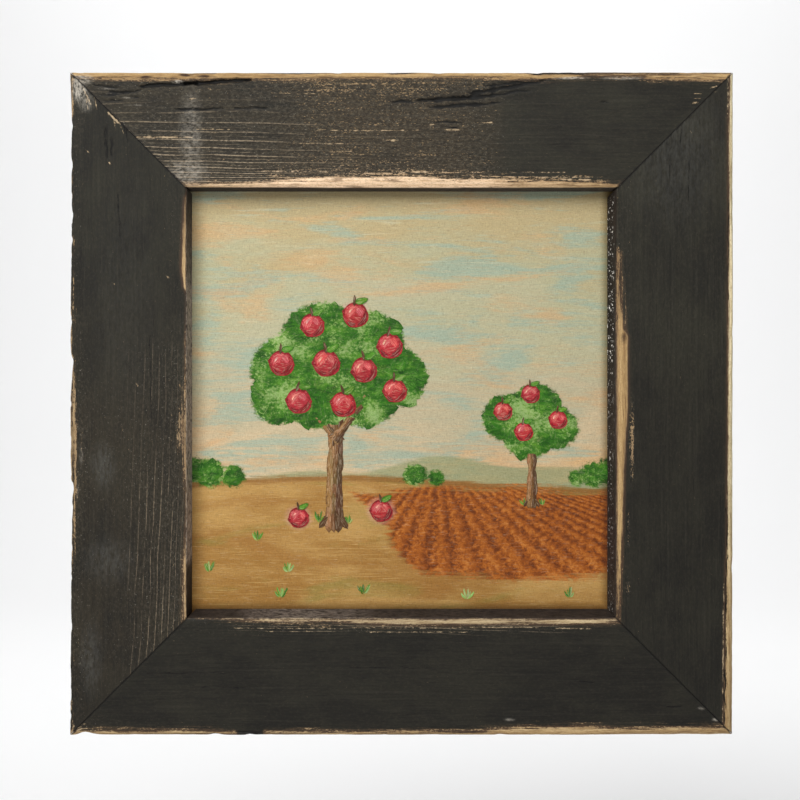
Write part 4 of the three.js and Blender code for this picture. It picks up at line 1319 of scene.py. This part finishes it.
def lay_strokes(name, strokes, material, base=0.0, touch=LONG_TOUCH, sponged=0.0):
    """strokes: rows of x, z, angle, length, width, bend, thickness, colour and the one under it, in mm."""
    shape, one_stroke_faces, uv, rim = touch
    points, faces, marks, shades, unders = [], [], [], [], []
    for number, (x, z, angle, length, width, bend, thick, shade, under) in enumerate(strokes):
        along, across = shape[:, 0] * length / 2, shape[:, 1] * width / 2
        across = across + bend * (shape[:, 0] ** 2 - 0.4)
        lift = shape[:, 2] * thick * 0.5 + thick * 0.5 + base + LIFT_STEP * number
        px = x + along * math.cos(angle) - across * math.sin(angle)
        pz = z + along * math.sin(angle) + across * math.cos(angle)
        points.append(np.column_stack([px * MM, print_low.y - lift * MM, pz * MM + PICTURE_Z]))
        first = number * len(shape)
        faces += [tuple(first + corner for corner in face) for face in one_stroke_faces]
        marks.append(uv * (length / 2, width / 2, 1) + (0, 0, NOISE_STEP * number))
        shades.append(np.tile(shade[:3], (len(shape), 1)))
        unders.append(np.tile(under[:3], (len(shape), 1)))
    mesh = bpy.data.meshes.new(name)
    mesh.from_pydata(np.concatenate(points).tolist(), [], faces)
    piece = bpy.data.objects.new(name, mesh)
    bpy.context.scene.collection.objects.link(piece)
    keep_values(
        piece,
        stroke=np.concatenate(marks),
        pigment=np.concatenate(shades),
        under=np.concatenate(unders),
        rim=np.tile(rim, len(strokes)),
        sponged=np.full(len(mesh.vertices), sponged),
    )
    print(name, "strokes:", len(strokes))
    return finish_piece(piece, material, "picture_print", smooth=50)


# %% [markdown]
# The thick paint has its own bristle marks along each stroke, thins out at the stroke's rim so that the
# colour under it shows, and takes the same canvas and sponge as the print, so that both look like one
# picture. Colours travel with the strokes as values, so one material paints them all.

# %% Thick paint
thick = Finish("thick_paint", Specular_IOR_Level=0.2)
stroke_place = thick.value("stroke", "Vector")
bristle_marks = thick.noise(stroke_place, (0.2, 1.5, 1.0), 4.0, 0.6)
smudges = thick.noise(stroke_place, (0.6, 0.8, 1.0), 4.0, 0.65)
thick_sheet_place = thick.stretched(thick.object_place(), (1000, 1000, 1000), move=(0, 0, -PICTURE_Z / MM))
thick_canvas, thick_pores = canvas_of(thick, thick_sheet_place)
pigment = thick.value("pigment", "Vector")
paler = thick.mix(0.5, pigment, colour(244, 222, 192))
pigment = thick.brush(pigment, paler, bristle_marks, 0.48, 0.66, 0.38)
darker = thick.tint(pigment, colour(156, 140, 122))
pigment = thick.brush(pigment, darker, bristle_marks, 0.5, 0.3, 0.35)
covered = thick.add(thick.value("rim"), thick.swing(smudges, 2.0))
covered = thick.add(covered, thick.swing(thick_canvas, 1.2))
pigment = thick.mix(thick.fade(covered, 0.02, 0.45), thick.value("under", "Vector"), pigment)
sponge_gaps = thick.fade(thick_pores, 0.4, 0.56, 0.55, 1.0)
sponge_share = thick.times(thick.value("sponged"), sponge_gaps, clamp=True)
pigment = thick.mix(sponge_share, pigment, sponged_leaves(thick, thick_sheet_place))
pigment = weathered(thick, pigment, thick_canvas, thick_pores)
stroke_relief = thick.add(thick.times(bristle_marks, 0.6), thick_canvas)
stroke_sheen = thick.fade(thick_canvas, 0.3, 0.7, 0.55, 0.66)
thick_paint = thick.paint(pigment, stroke_sheen, thick.relief(stroke_relief, 0.15 * MM))

# %% [markdown]
# Leaves are broad dabs that point out of each crown and round off its border, darkest first. Fruit sits
# in front: each is a round red touch, shaded with darker and paler curved touches that follow its
# border. The draws of place and angle are seeded, so the picture is the same every time.

# %% Palette and single subjects
draw = np.random.default_rng(41)
REDS = [
    colour(112, 14, 22), colour(160, 34, 42), colour(188, 76, 76),
    colour(208, 124, 112), colour(226, 180, 158),
]
BARKS = [colour(76, 50, 26), colour(106, 74, 40), colour(140, 104, 64)]
BARK_THICKNESS = 0.12  # in millimetres
TRUNK_STEPS = 13


def varied(shade, spread=0.12):
    return tuple(np.clip(np.array(shade[:3]) * draw.uniform(1 - spread, 1 + spread, 3), 0, 1))


def trunk(foot, top, foot_width, top_width):
    """Three roots, then touches of three shades side by side in steps up the trunk."""
    strokes = []
    run = np.array(top) - np.array(foot)
    length, angle = math.hypot(*run), math.atan2(run[1], run[0])
    side = np.array([-math.sin(angle), math.cos(angle)])
    for lean in (-0.75, 0.65, 0.1):
        place = np.array(foot) + side * -lean * foot_width * 0.55 + (0, -0.6)
        root = (foot_width * 1.5, foot_width * 0.42, 0.6 * lean, BARK_THICKNESS)
        strokes.append((*place, angle + lean, *root, varied(BARKS[0]), BARKS[0]))
    for share in np.linspace(0, 1, TRUNK_STEPS):
        width = foot_width + (top_width - foot_width) * share**0.6
        for shade, offset in ((0, -0.3), (1, 0.0), (2, 0.3)):
            place = np.array(foot) + run * share + side * offset * width
            place = place + side * draw.uniform(-0.1, 0.1) * width
            turn = angle + draw.normal(0, 0.07)
            touch = (length * 0.26, width * 0.5, draw.uniform(-0.4, 0.4), BARK_THICKNESS)
            strokes.append((*place, turn, *touch, varied(BARKS[shade]), BARKS[min(shade, 1)]))
    return strokes


# which green, its size, how far out in a lobe, and how many of it
LEAF_LAYERS = [(0, 13.0, 0.98, 1.0), (1, 12.0, 0.9, 1.0), (1, 11.0, 0.7, 0.7), (2, 9.0, 0.6, 0.5)]


def leaf_dabs(lobes, density):
    strokes = []
    for green, size, far, share in LEAF_LAYERS:
        for lobe_x, lobe_z, radius in lobes:
            for _ in range(round(density * radius * share)):
                around = draw.uniform(0, 2 * math.pi)
                reach = radius * far * math.sqrt(draw.uniform(0.3, 1.0)) - size * 0.2
                x, z = lobe_x + reach * math.cos(around), lobe_z + reach * math.sin(around) * 0.92
                scale = min(1.0, radius / 17)
                length = size * scale * draw.uniform(0.8, 1.2)
                width = size * scale * draw.uniform(0.55, 0.8)
                angle, bend = around + draw.normal(0, 0.5), draw.uniform(-0.9, 0.9)
                under, shade = LEAF_SHADES[max(green - 1, 0)], varied(LEAF_SHADES[green], 0.15)
                if abs(x) + length / 2 < SHEET_REACH:
                    strokes.append((x, z, angle, length, width, bend, 0.1, shade, under))
    return strokes


# shade, length, width, where round the middle, how far out, bend
FRUIT_TOUCHES = [
    (0, 1.7, 0.55, -0.75, 0.66, 0.34), (0, 0.9, 0.4, -2.1, 0.74, 0.2), (2, 1.35, 0.85, 2.35, 0.4, 0.2),
    (2, 0.9, 0.6, 0.7, 0.42, 0.1), (3, 0.9, 0.55, 2.3, 0.45, 0.14), (4, 0.5, 0.3, 2.5, 0.46, 0.06),
]


def fruit_touches(x, z, radius, base_shade):
    """A stalk, a leaf beside it, and the shading of the fruit itself."""
    turn = draw.uniform(-0.35, 0.35)
    stalk = (x - radius * 0.05, z + radius * 1.12, 1.6 + turn, radius * 0.9, radius * 0.22, 0.2, 0.2)
    leaf = (x + radius * 0.5, z + radius * 1.1, 0.3 + turn, radius * 1.1, radius * 0.5, 0.3, 0.2)
    strokes = [(*stalk, varied(BARKS[0]), BARKS[0]), (*leaf, varied(LEAF_SHADES[2]), LEAF_SHADES[1])]
    for shade, length, width, around, reach, bend in FRUIT_TOUCHES:
        around = around + draw.uniform(-0.2, 0.2)
        place = (x + radius * reach * math.cos(around), z + radius * reach * math.sin(around))
        touch = (around - math.pi / 2, radius * length, radius * width, -radius * bend, 0.1)
        strokes.append((*place, *touch, varied(REDS[shade], 0.15), base_shade))
    return strokes


def grass_tuft(x, z, size):
    strokes = []
    for blade in range(5):
        lean = (blade - 2) / 2 * 0.6 + draw.normal(0, 0.12)
        length = size * draw.uniform(0.7, 1.1) * (1 - 0.25 * abs(lean))
        place = (x + math.sin(lean) * length / 2, z + math.cos(lean) * length / 2)
        shade = LEAF_SHADES[int(draw.integers(1, 4))]
        touch = (math.pi / 2 - lean, length, size * 0.2, lean * 0.8, 0.1)
        strokes.append((*place, *touch, varied(shade, 0.2), GROUND_SHADE))
    return strokes


# %% [markdown]
# The strokes are laid from the back to the front, as a painter works: trunks, leaves, grass, and then
# fruit. Each group becomes one piece, because they share a material and never move apart.

# %% Painting the orchard
BIG_TREE, SMALL_TREE = CROWN_LOBES[:8], CROWN_LOBES[8:]
TUFT_PLACES = [
    (-48, -69, 8), (-31, -70, 7), (-84, -80, 8), (-112, -98, 9), (-66, -98, 8), (-70, -113, 9),
    (-22, -111, 9), (71, -59, 5), (82, -59, 5), (38, -114, 8), (98, -113, 8),
]
trunks = trunk((-39, -66), (-38, 4), 10, 7) + trunk((-38, -20), (-58, 6), 5, 3)
trunks += trunk((-37, -18), (-16, 10), 5, 3) + trunk((76, -56), (76, -18), 5.5, 4)
crowns = leaf_dabs(BIG_TREE, 0.62) + leaf_dabs(SMALL_TREE, 0.8) + leaf_dabs(BUSH_LOBES, 1.0)
rounds, touches = [], []
for x, z, radius in FRUIT_PLACES:
    fruit_shade = varied(REDS[1])
    turn = draw.uniform(-0.3, 0.3)
    rounds.append((x, z, turn, radius * 2.15, radius * 2.0, 0, 0.16, fruit_shade, REDS[0]))
    touches += fruit_touches(x, z, radius, fruit_shade)
tufts = [stroke for place in TUFT_PLACES for stroke in grass_tuft(*place)]
lay_strokes("painted_trunks", trunks, thick_paint)
lay_strokes("painted_leaves", crowns, thick_paint, base=0.06, sponged=0.85)
lay_strokes("painted_grass", tufts, thick_paint)
lay_strokes("painted_fruit", rounds, thick_paint, base=0.24, touch=ROUND_TOUCH)
lay_strokes("fruit_touches", touches, thick_paint, base=0.32)

# %% [markdown]
# Behind the picture, a sheet of hardboard stiffens it. Its smooth face carries the print, and its
# rough face, which shows from behind, has the print of the wire mesh that it was pressed on. The board
# starts as a plank with its corners rounded by a bevel, and the mesh is left to the finish.

# %% Back board
WIRE_PITCH = 1.6 * MM

hardboard = Finish("hardboard", Specular_IOR_Level=0.15)
board_place = hardboard.object_place()
fibres = hardboard.noise(board_place, (700, 700, 700), 5.0, 0.7, 0.6)
clouds = hardboard.noise(board_place, (26, 26, 34), 4.0, 0.6)
wires = hardboard.stretched(board_place, (2 * math.pi / WIRE_PITCH,) * 3)
wire_parts = hardboard.node("ShaderNodeSeparateXYZ", {"Vector": wires})
wire_waves = [hardboard.math("SINE", wire_parts.outputs[axis]) for axis in ("X", "Z")]
mesh_print = hardboard.times(*wire_waves)
board_colour = hardboard.mix(hardboard.fade(clouds, 0.35, 0.65), colour(122, 88, 60), colour(134, 98, 67))
board_colour = hardboard.brush(board_colour, colour(176, 136, 98), fibres, 0.45, 0.75, 0.6)
board_colour = hardboard.brush(board_colour, colour(70, 46, 30), mesh_print, 0.1, -0.9, 0.35)
board_relief = hardboard.add(hardboard.times(mesh_print, 0.3), fibres)
hardboard_finish = hardboard.paint(
    board_colour, hardboard.fade(fibres, 0.3, 0.7, 0.7, 0.85), hardboard.relief(board_relief, 0.25 * MM)
)


def block(name, low, high):
    """A plain block between two corners, left in edit mode with everything selected."""
    low, high = Vector(low), Vector(high)
    middle, size = (low + high) / 2, high - low
    return start(name, bpy.ops.mesh.primitive_cube_add, size=1, location=middle, scale=size)


backing = block("backing_board", *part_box("back_board"))
bpy.ops.object.mode_set(mode="OBJECT")
bevel_edges(backing, 0.35 * MM, segments=3)
finish_piece(backing, hardboard_finish, "hardboard", "back_board")

# %% [markdown]
# Small pressed steel parts hold the picture together. A framer's tab is cut from sheet: its buried end
# is pointed, its free end has rounded corners, and a rib pressed along it makes it stiff. A V-nail is
# a folded strip, driven into both boards at a mitre until its back lies level with the wood. One tab is
# modelled in its place on the top board, and one V-nail in a mitre's own directions. Both are then
# copied round the frame, which keeps every copy the same, as stampings from one tool are.

# %% Zinc-plated steel
steel = Finish("zinc_steel", Metallic=1.0)
steel_place = steel.object_place()
crystals = steel.node("ShaderNodeTexVoronoi", {"Vector": steel_place, "Scale": 420.0}).outputs["Color"]
crystal_tone = steel.node("ShaderNodeSeparateXYZ", {"Vector": crystals}).outputs["X"]
smears = steel.noise(steel_place, (300, 300, 300), 4.0, 0.65)
steel_colour = steel.mix(crystal_tone, colour(168, 170, 170), colour(204, 204, 200))
steel_colour = steel.brush(steel_colour, colour(124, 116, 104), smears, 0.55, 0.75, 0.5)
steel_sheen = steel.add(steel.fade(smears, 0.3, 0.7, 0.28, 0.5), steel.times(crystal_tone, 0.1))
zinc_steel = steel.paint(steel_colour, steel_sheen, steel.relief(smears, 0.02 * MM))

# %% [markdown]
# A tab could be built from its outline. Here a block as large as the tab is cut into strips, and the
# strips' points are pushed to the point at one end and up into the rib, which leaves few faces.

# %% Tabs
TAB_CORNER = 2 * MM
TAB_POINT = 2.5 * MM
RIB_HALF_WIDTH, RIB_HEIGHT = 1.1 * MM, 0.35 * MM


def copy_of(piece, name, points):
    copy = piece.copy()
    copy.data = piece.data.copy()
    copy.name = copy.data.name = name
    bpy.context.scene.collection.objects.link(copy)
    move_points(copy, points)
    return copy


def to_board_places(points):
    """World points on the top board as places along it, in depth, and out from the frame's middle."""
    return points - (0, 0, MIDDLE_Z)


tab_low, tab_high = (Vector(corner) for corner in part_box("tab_top_2"))
TAB_X = (tab_low.x + tab_high.x) / 2


def framers_tab():
    tab = block("tab_pattern", tab_low, tab_high)
    for x in (TAB_X - RIB_HALF_WIDTH, TAB_X, TAB_X + RIB_HALF_WIDTH):
        slice_at(0, x)
    free_end = [tab_low.z + TAB_CORNER, tab_low.z + 2 * TAB_CORNER]
    buried_end = [tab_high.z - 2 * TAB_POINT, tab_high.z - TAB_POINT]
    for z in free_end + buried_end:
        slice_at(2, z)
    pick("VERT", lambda v: near(v.co.z, tab_high.z) and not near(v.co.x, TAB_X))
    push(z=-TAB_POINT)
    rib_low, rib_high = tab_low.z + 1.5 * TAB_CORNER, tab_high.z - 1.5 * TAB_POINT
    pick("VERT", lambda v: near(v.co.x, TAB_X) and rib_low < v.co.z < rib_high)
    push(y=RIB_HEIGHT)
    at_free_end = lambda place: near(place.z, tab_low.z) and abs(place.x - TAB_X) > 4 * MM
    pick("EDGE", lambda edge: runs_along(edge, 1) and at_free_end(middle_of(edge)))
    bpy.ops.mesh.bevel(offset=TAB_CORNER, segments=4, affect="EDGES")
    close_seams()
    bpy.ops.object.mode_set(mode="OBJECT")
    bevel_edges(tab, 0.08 * MM, segments=1, angle=50)
    return tab


pattern = framers_tab()
tab_places = to_board_places(points_of(pattern))
for side, wear in enumerate(BOARDS):
    for number, shift in ((1, -2 * TAB_X), (2, 0)):
        name = f"{wear['name']}_{number}"
        tab = copy_of(pattern, f"framers_tab_{name}", turned_to_side(tab_places + (shift, 0, 0), side))
        finish_piece(tab, zinc_steel, "steel", f"tab_{name}", smooth=40)
bpy.data.objects.remove(pattern)

# %% [markdown]
# A V-nail is bent from one strip. Half of it is made, turned outwards and cut off at the fold, and a
# mirror adds the other leg, so that both are the same.

# %% V-nails
V_RADII = [146 * MM, 172 * MM]  # out from the frame's middle, along each mitre
V_LEG, V_THICKNESS = 6 * MM, 0.8 * MM
V_SPREAD = 0.9  # how far a leg runs out to its side for each step back along the mitre
V_BACK = BACK + 0.05 * MM  # just proud of the wood, so that it shows
V_FRONT = Vector(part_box("v_nail_corner_1_1")[0]).y


def v_nail():
    """Folded in the mitre's own directions: x runs out along the mitre and z across it."""
    leg = math.hypot(V_LEG, V_LEG * V_SPREAD)
    nail = block("v_pattern", (-leg, V_FRONT, -V_THICKNESS / 2), (V_THICKNESS / 2, V_BACK, V_THICKNESS / 2))
    bpy.ops.transform.rotate(value=-math.atan(V_SPREAD), orient_axis="Y", center_override=(0, 0, 0))
    slice_at(2, 0, clear_inner=True, use_fill=False)
    bpy.ops.object.mode_set(mode="OBJECT")
    only(nail)
    mirror = nail.modifiers.new("other leg", "MIRROR")
    mirror.use_axis = (False, False, True)
    bpy.ops.object.modifier_apply(modifier=mirror.name)
    bpy.ops.object.mode_set(mode="EDIT")
    close_seams()
    bpy.ops.object.mode_set(mode="OBJECT")
    bevel_edges(nail, 0.12 * MM, segments=2, angle=40)
    return nail


pattern = v_nail()
v_points = points_of(pattern)
for side in range(4):
    for number, radius in enumerate(V_RADII, start=1):
        along, across = v_points[:, 0], v_points[:, 2]
        x, r = radius + (along - across) * math.sqrt(0.5), radius + (along + across) * math.sqrt(0.5)
        name = f"corner_{side + 1}_{number}"
        points = turned_to_side(np.column_stack([x, v_points[:, 1], r]), side)
        nail = copy_of(pattern, f"folded_v_nail_{name}", points)
        finish_piece(nail, zinc_steel, "steel", f"v_nail_{name}", smooth=40)
bpy.data.objects.remove(pattern)

# %% [markdown]
# The hanger and its nails are steel with a thin plating of brass, brushed sideways and tarnished in
# patches. Noise drawn out along X makes the brushing, and an even, soft noise makes the tarnish.

# %% Brass plate
brass = Finish("brass_plate", Metallic=1.0)
brass_place = brass.object_place()
brushing = brass.noise(brass_place, (150, 900, 2600), 4.0, 0.6)
tarnish = brass.noise(brass_place, (160, 160, 160), 5.0, 0.65, 0.4)
brass_colour = brass.mix(brass.fade(tarnish, 0.4, 0.7), colour(214, 176, 96), colour(160, 116, 52))
brass_colour = brass.brush(brass_colour, colour(232, 200, 130), brushing, 0.5, 0.75, 0.4)
brass_sheen = brass.add(brass.fade(tarnish, 0.35, 0.7, 0.22, 0.45), brass.times(brushing, 0.1))
brass_plate = brass.paint(brass_colour, brass_sheen, brass.relief(brushing, 0.02 * MM))

# %% [markdown]
# The picture hangs by a sawtooth strip at the top, nailed down at both ends, with its middle raised so
# that a nail's head fits behind, and teeth that hold it level. Its outline could be drawn and filled.
# Here the strip is cut into one-millimetre lengths, so its teeth and its raised middle are only points
# pushed to their places.

# %% Sawtooth hanger
TOOTH_DROP = 1.2 * MM
BRIDGE_HALF, LEG_LENGTH, BRIDGE_RISE = 14 * MM, 3 * MM, 1.8 * MM
STRIP_THICKNESS = 0.9 * MM
NAIL_X, NAIL_Z, NAIL_HOLE = 20 * MM, 3.4 * MM, 0.95 * MM
TEETH_HALF = 12 * MM
SEAM_ROWS = [2.4 * MM, 4.0 * MM, 5.6 * MM]
SWELL = 0.3 * MM  # how far the middle row stands out from the raised part

hanger_low, hanger_high = (Vector(corner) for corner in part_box("sawtooth_hanger"))
strip_high = (hanger_high.x, BACK + STRIP_THICKNESS, hanger_high.z)
strip = block("sawtooth_strip", (hanger_low.x, BACK, 0), strip_high)
for z in SEAM_ROWS:
    slice_at(2, z)
pick("EDGE", lambda edge: runs_along(edge, 0))
bpy.ops.mesh.subdivide(number_cuts=round((hanger_high.x - hanger_low.x) / MM) - 1)
is_tooth = lambda x: abs(x) < TEETH_HALF and round(abs(x) / MM) % 2 == 1
print("teeth:", pick("VERT", lambda v: near(v.co.z, 0) and is_tooth(v.co.x)) // 2)
push(z=-TOOTH_DROP)
pick("VERT", lambda v: abs(v.co.x) < BRIDGE_HALF + 0.1 * MM)
push(y=BRIDGE_RISE)
for step in (1, 2):
    pick("VERT", lambda v: near(abs(v.co.x), BRIDGE_HALF + step * LEG_LENGTH / 3))
    push(y=BRIDGE_RISE * (1 - step / 3))
pick("VERT", lambda v: near(v.co.z, SEAM_ROWS[1]) and abs(v.co.x) < BRIDGE_HALF - 2 * MM)
push(y=SWELL)
bpy.ops.object.mode_set(mode="OBJECT")
for x in (-NAIL_X, NAIL_X):
    punch = start(
        "punch",
        bpy.ops.mesh.primitive_cylinder_add,
        vertices=20,
        radius=NAIL_HOLE,
        depth=6 * MM,
        location=(x, BACK, NAIL_Z),
        rotation=(math.radians(90), 0, 0),
    )
    bpy.ops.object.mode_set(mode="OBJECT")
    only(strip)
    hole = strip.modifiers.new("nail hole", "BOOLEAN")
    hole.operation, hole.object, hole.solver = "DIFFERENCE", punch, "EXACT"
    bpy.ops.object.modifier_apply(modifier=hole.name)
    bpy.data.objects.remove(punch)
bevel_edges(strip, 0.12 * MM, segments=2, angle=40)
finish_piece(strip, brass_plate, "brass", "sawtooth_hanger", smooth=35)

# %% [markdown]
# Two short round nails hold the hanger's ends. Each is made as it is headed in the nail machine: head
# first, with the shank drawn out of it.

# %% Hanger nails
NAIL_HEAD, NAIL_SHANK, NAIL_POINT = 2 * MM, 0.65 * MM, 2 * MM


def hanger_nail(name, node):
    """A round head, domed by a bevel, with its shank drawn out of it to a point."""
    nail_low, nail_high = (Vector(corner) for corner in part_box(node))
    x, z = (nail_low.x + nail_high.x) / 2, (nail_low.z + nail_high.z) / 2
    head_front = BACK + STRIP_THICKNESS
    nail = start(
        name,
        bpy.ops.mesh.primitive_cylinder_add,
        vertices=32,
        radius=NAIL_HEAD,
        depth=nail_high.y - head_front,
        location=(x, (head_front + nail_high.y) / 2, z),
        rotation=(math.radians(90), 0, 0),
    )
    pick("FACE", lambda face: face.normal.y < -0.9)
    bpy.ops.mesh.inset(thickness=NAIL_HEAD - NAIL_SHANK)
    extrude(y=nail_low.y + NAIL_POINT - head_front)
    extrude(y=-NAIL_POINT)
    bpy.ops.transform.resize(value=(0.15, 1, 0.15), center_override=(x, nail_low.y, z))
    pick("EDGE", lambda edge: near(middle_of(edge).y, nail_high.y, 0.05 * MM) and edge.is_manifold)
    bpy.ops.mesh.bevel(offset=0.45 * MM, segments=3, affect="EDGES")
    bpy.ops.object.mode_set(mode="OBJECT")
    finish_piece(nail, brass_plate, "brass", node, smooth=40)


hanger_nail("round_nail_left", "hanger_nail_1")
hanger_nail("round_nail_right", "hanger_nail_2")

# %% [markdown]
# Two rubber bumpers keep the foot of the frame off the wall. Each is a low cone with a softened rim and
# a slightly hollow face, which is how moulded stick-on feet come out of their mould.

# %% Rubber bumpers
FOOT_RADIUS, FACE_RADIUS, DISH_DEPTH = 5 * MM, 4.2 * MM, 0.3 * MM

rubber = Finish("black_rubber", Specular_IOR_Level=0.35)
rubber_grain = rubber.noise(rubber.object_place(), (1400, 1400, 1400), 4.0, 0.7)
rubber_bloom = rubber.noise(rubber.object_place(), (260, 260, 260), 4.0, 0.6)
rubber_colour = rubber.mix(rubber.fade(rubber_bloom, 0.4, 0.7), colour(26, 26, 27), colour(44, 43, 42))
rubber_sheen = rubber.fade(rubber_grain, 0.3, 0.7, 0.55, 0.75)
black_rubber = rubber.paint(rubber_colour, rubber_sheen, rubber.relief(rubber_grain, 0.06 * MM))


def bumper(name, node):
    foot_low, foot_high = (Vector(corner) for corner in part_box(node))
    x, z = (foot_low.x + foot_high.x) / 2, (foot_low.z + foot_high.z) / 2
    foot = start(
        name,
        bpy.ops.mesh.primitive_cone_add,
        vertices=48,
        radius1=FOOT_RADIUS,
        radius2=FACE_RADIUS,
        depth=foot_high.y - foot_low.y,
        location=(x, (foot_low.y + foot_high.y) / 2, z),
        rotation=(math.radians(-90), 0, 0),
    )
    pick("FACE", lambda face: face.normal.y > 0.9)
    bpy.ops.mesh.inset(thickness=1.3 * MM)
    bpy.ops.mesh.inset(thickness=0.9 * MM)
    push(y=-DISH_DEPTH)
    bpy.ops.object.mode_set(mode="OBJECT")
    bevel_edges(foot, 0.5 * MM, segments=3, angle=35)
    finish_piece(foot, black_rubber, "rubber", node, smooth=50)


bumper("rubber_bumper_left", "bumper_1")
bumper("rubber_bumper_right", "bumper_2")

# %% [markdown]
# The camera looks straight at the picture from a little above its middle, from the distance at which
# a photographer would stand with a short telephoto lens. The lens is shifted down a little, where a
# tilted camera would draw the frame's sides together.

# %% Camera
VIEW_WIDTH = 459.4 * MM  # how wide a strip the image takes in at the frame's face
CAMERA_DISTANCE = 850 * MM
CAMERA_RISE = 28 * MM  # above the frame's middle
FRAME_RIGHT_IN_VIEW = 0.9 * MM  # how far the frame's middle lies right of the image's middle
FRAME_DOWN_IN_VIEW = 2.1 * MM  # and how far below it
SENSOR_WIDTH = 36  # in real millimetres, as lens lengths are

camera_data = bpy.data.cameras.new("camera")
camera_data.sensor_width = SENSOR_WIDTH
camera_data.lens = SENSOR_WIDTH * CAMERA_DISTANCE / VIEW_WIDTH
camera_data.shift_y = (FRAME_DOWN_IN_VIEW - CAMERA_RISE) / VIEW_WIDTH
camera_data.dof.use_dof = False
camera = bpy.data.objects.new("camera", camera_data)
camera.location = (-FRAME_RIGHT_IN_VIEW, FRONT - CAMERA_DISTANCE, MIDDLE_Z + CAMERA_RISE)
camera.rotation_euler = (math.radians(90), 0, 0)
bpy.context.scene.collection.objects.link(camera)
bpy.context.scene.camera = camera
print("lens", round(camera_data.lens, 1), "mm, shift", round(camera_data.shift_y, 4))

# %% [markdown]
# A plain studio: a pale floor that curves up into a backdrop far behind the frame, so that no line
# shows. Soft light comes from a bright room and from one large lamp above the camera, a little to the
# left. A second lamp behind the frame shines only on the backdrop, and makes it as white as paper.

# %% Studio
FLOOR_DROP = 260 * MM
STUDIO_WIDTH, FLOOR_FRONT, FLOOR_BACK = 9.0, -3.0, 2.0
BEND_RADIUS, WALL_HEIGHT = 1.2, 3.0
ROOM_COLOUR, ROOM_STRENGTH = (0.98, 0.985, 1.0, 1), 0.27

floor_z = low.z - FLOOR_DROP
sweep = start("studio_floor", bpy.ops.mesh.primitive_plane_add, size=1, location=(0, 0, floor_z))
bpy.ops.transform.resize(value=(STUDIO_WIDTH, FLOOR_BACK - FLOOR_FRONT, 1), center_override=(0, 0, floor_z))
push(y=(FLOOR_FRONT + FLOOR_BACK) / 2)
pick("EDGE", lambda edge: runs_along(edge, 0) and middle_of(edge).y > 0)
bpy.ops.mesh.spin(
    steps=16, angle=math.radians(-90), center=(0, FLOOR_BACK, floor_z + BEND_RADIUS), axis=(1, 0, 0)
)
extrude(z=WALL_HEIGHT)
bpy.ops.object.mode_set(mode="OBJECT")
print("floor reaches back to y", round(float(points_of(sweep)[:, 1].max()), 3))
only(sweep)
bpy.ops.object.shade_smooth()
studio_white = Finish("studio_white", Roughness=0.9, Specular_IOR_Level=0.1)
sweep_clouds = studio_white.noise(studio_white.object_place(), (0.6, 0.6, 0.6), 3.0, 0.55)
sweep_shade = studio_white.fade(sweep_clouds, 0.3, 0.7, 0.93, 0.95)
sweep_colour = studio_white.mix(sweep_shade, colour(0, 0, 0), colour(255, 255, 255))
sweep.data.materials.append(studio_white.paint(sweep_colour))
sweep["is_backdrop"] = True

world = bpy.data.worlds.new("studio")
world.use_nodes = True
background = world.node_tree.nodes["Background"]
background.inputs["Color"].default_value = ROOM_COLOUR
background.inputs["Strength"].default_value = ROOM_STRENGTH
bpy.context.scene.world = world


def soft_lamp(name, place, aim, size, power):
    lamp_data = bpy.data.lights.new(name, "AREA")
    lamp_data.shape, lamp_data.size, lamp_data.energy = "SQUARE", size, power
    lamp = bpy.data.objects.new(name, lamp_data)
    lamp.location = place
    lamp.rotation_euler = (Vector(aim) - Vector(place)).to_track_quat("-Z", "Y").to_euler()
    bpy.context.scene.collection.objects.link(lamp)


soft_lamp("key_lamp", (-0.42, -1.15, 0.85), aim=(0, 0, MIDDLE_Z), size=1.0, power=30)
soft_lamp("backdrop_lamp", (0.05, 1.5, 1.5), aim=(0, 3.0, 0.38), size=3.0, power=41)
bpy.context.scene.view_settings.view_transform = "Standard"
bpy.context.scene.view_settings.look = "None"

# %% [markdown]
# Last, the finished model's box is printed beside the engineering model's.

# %% The sizes of both models
visual_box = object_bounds()
{"cad": [list(corner) for corner in cad_box], "visual": [list(corner) for corner in visual_box]}
print("visual model, metres:", visual_box)
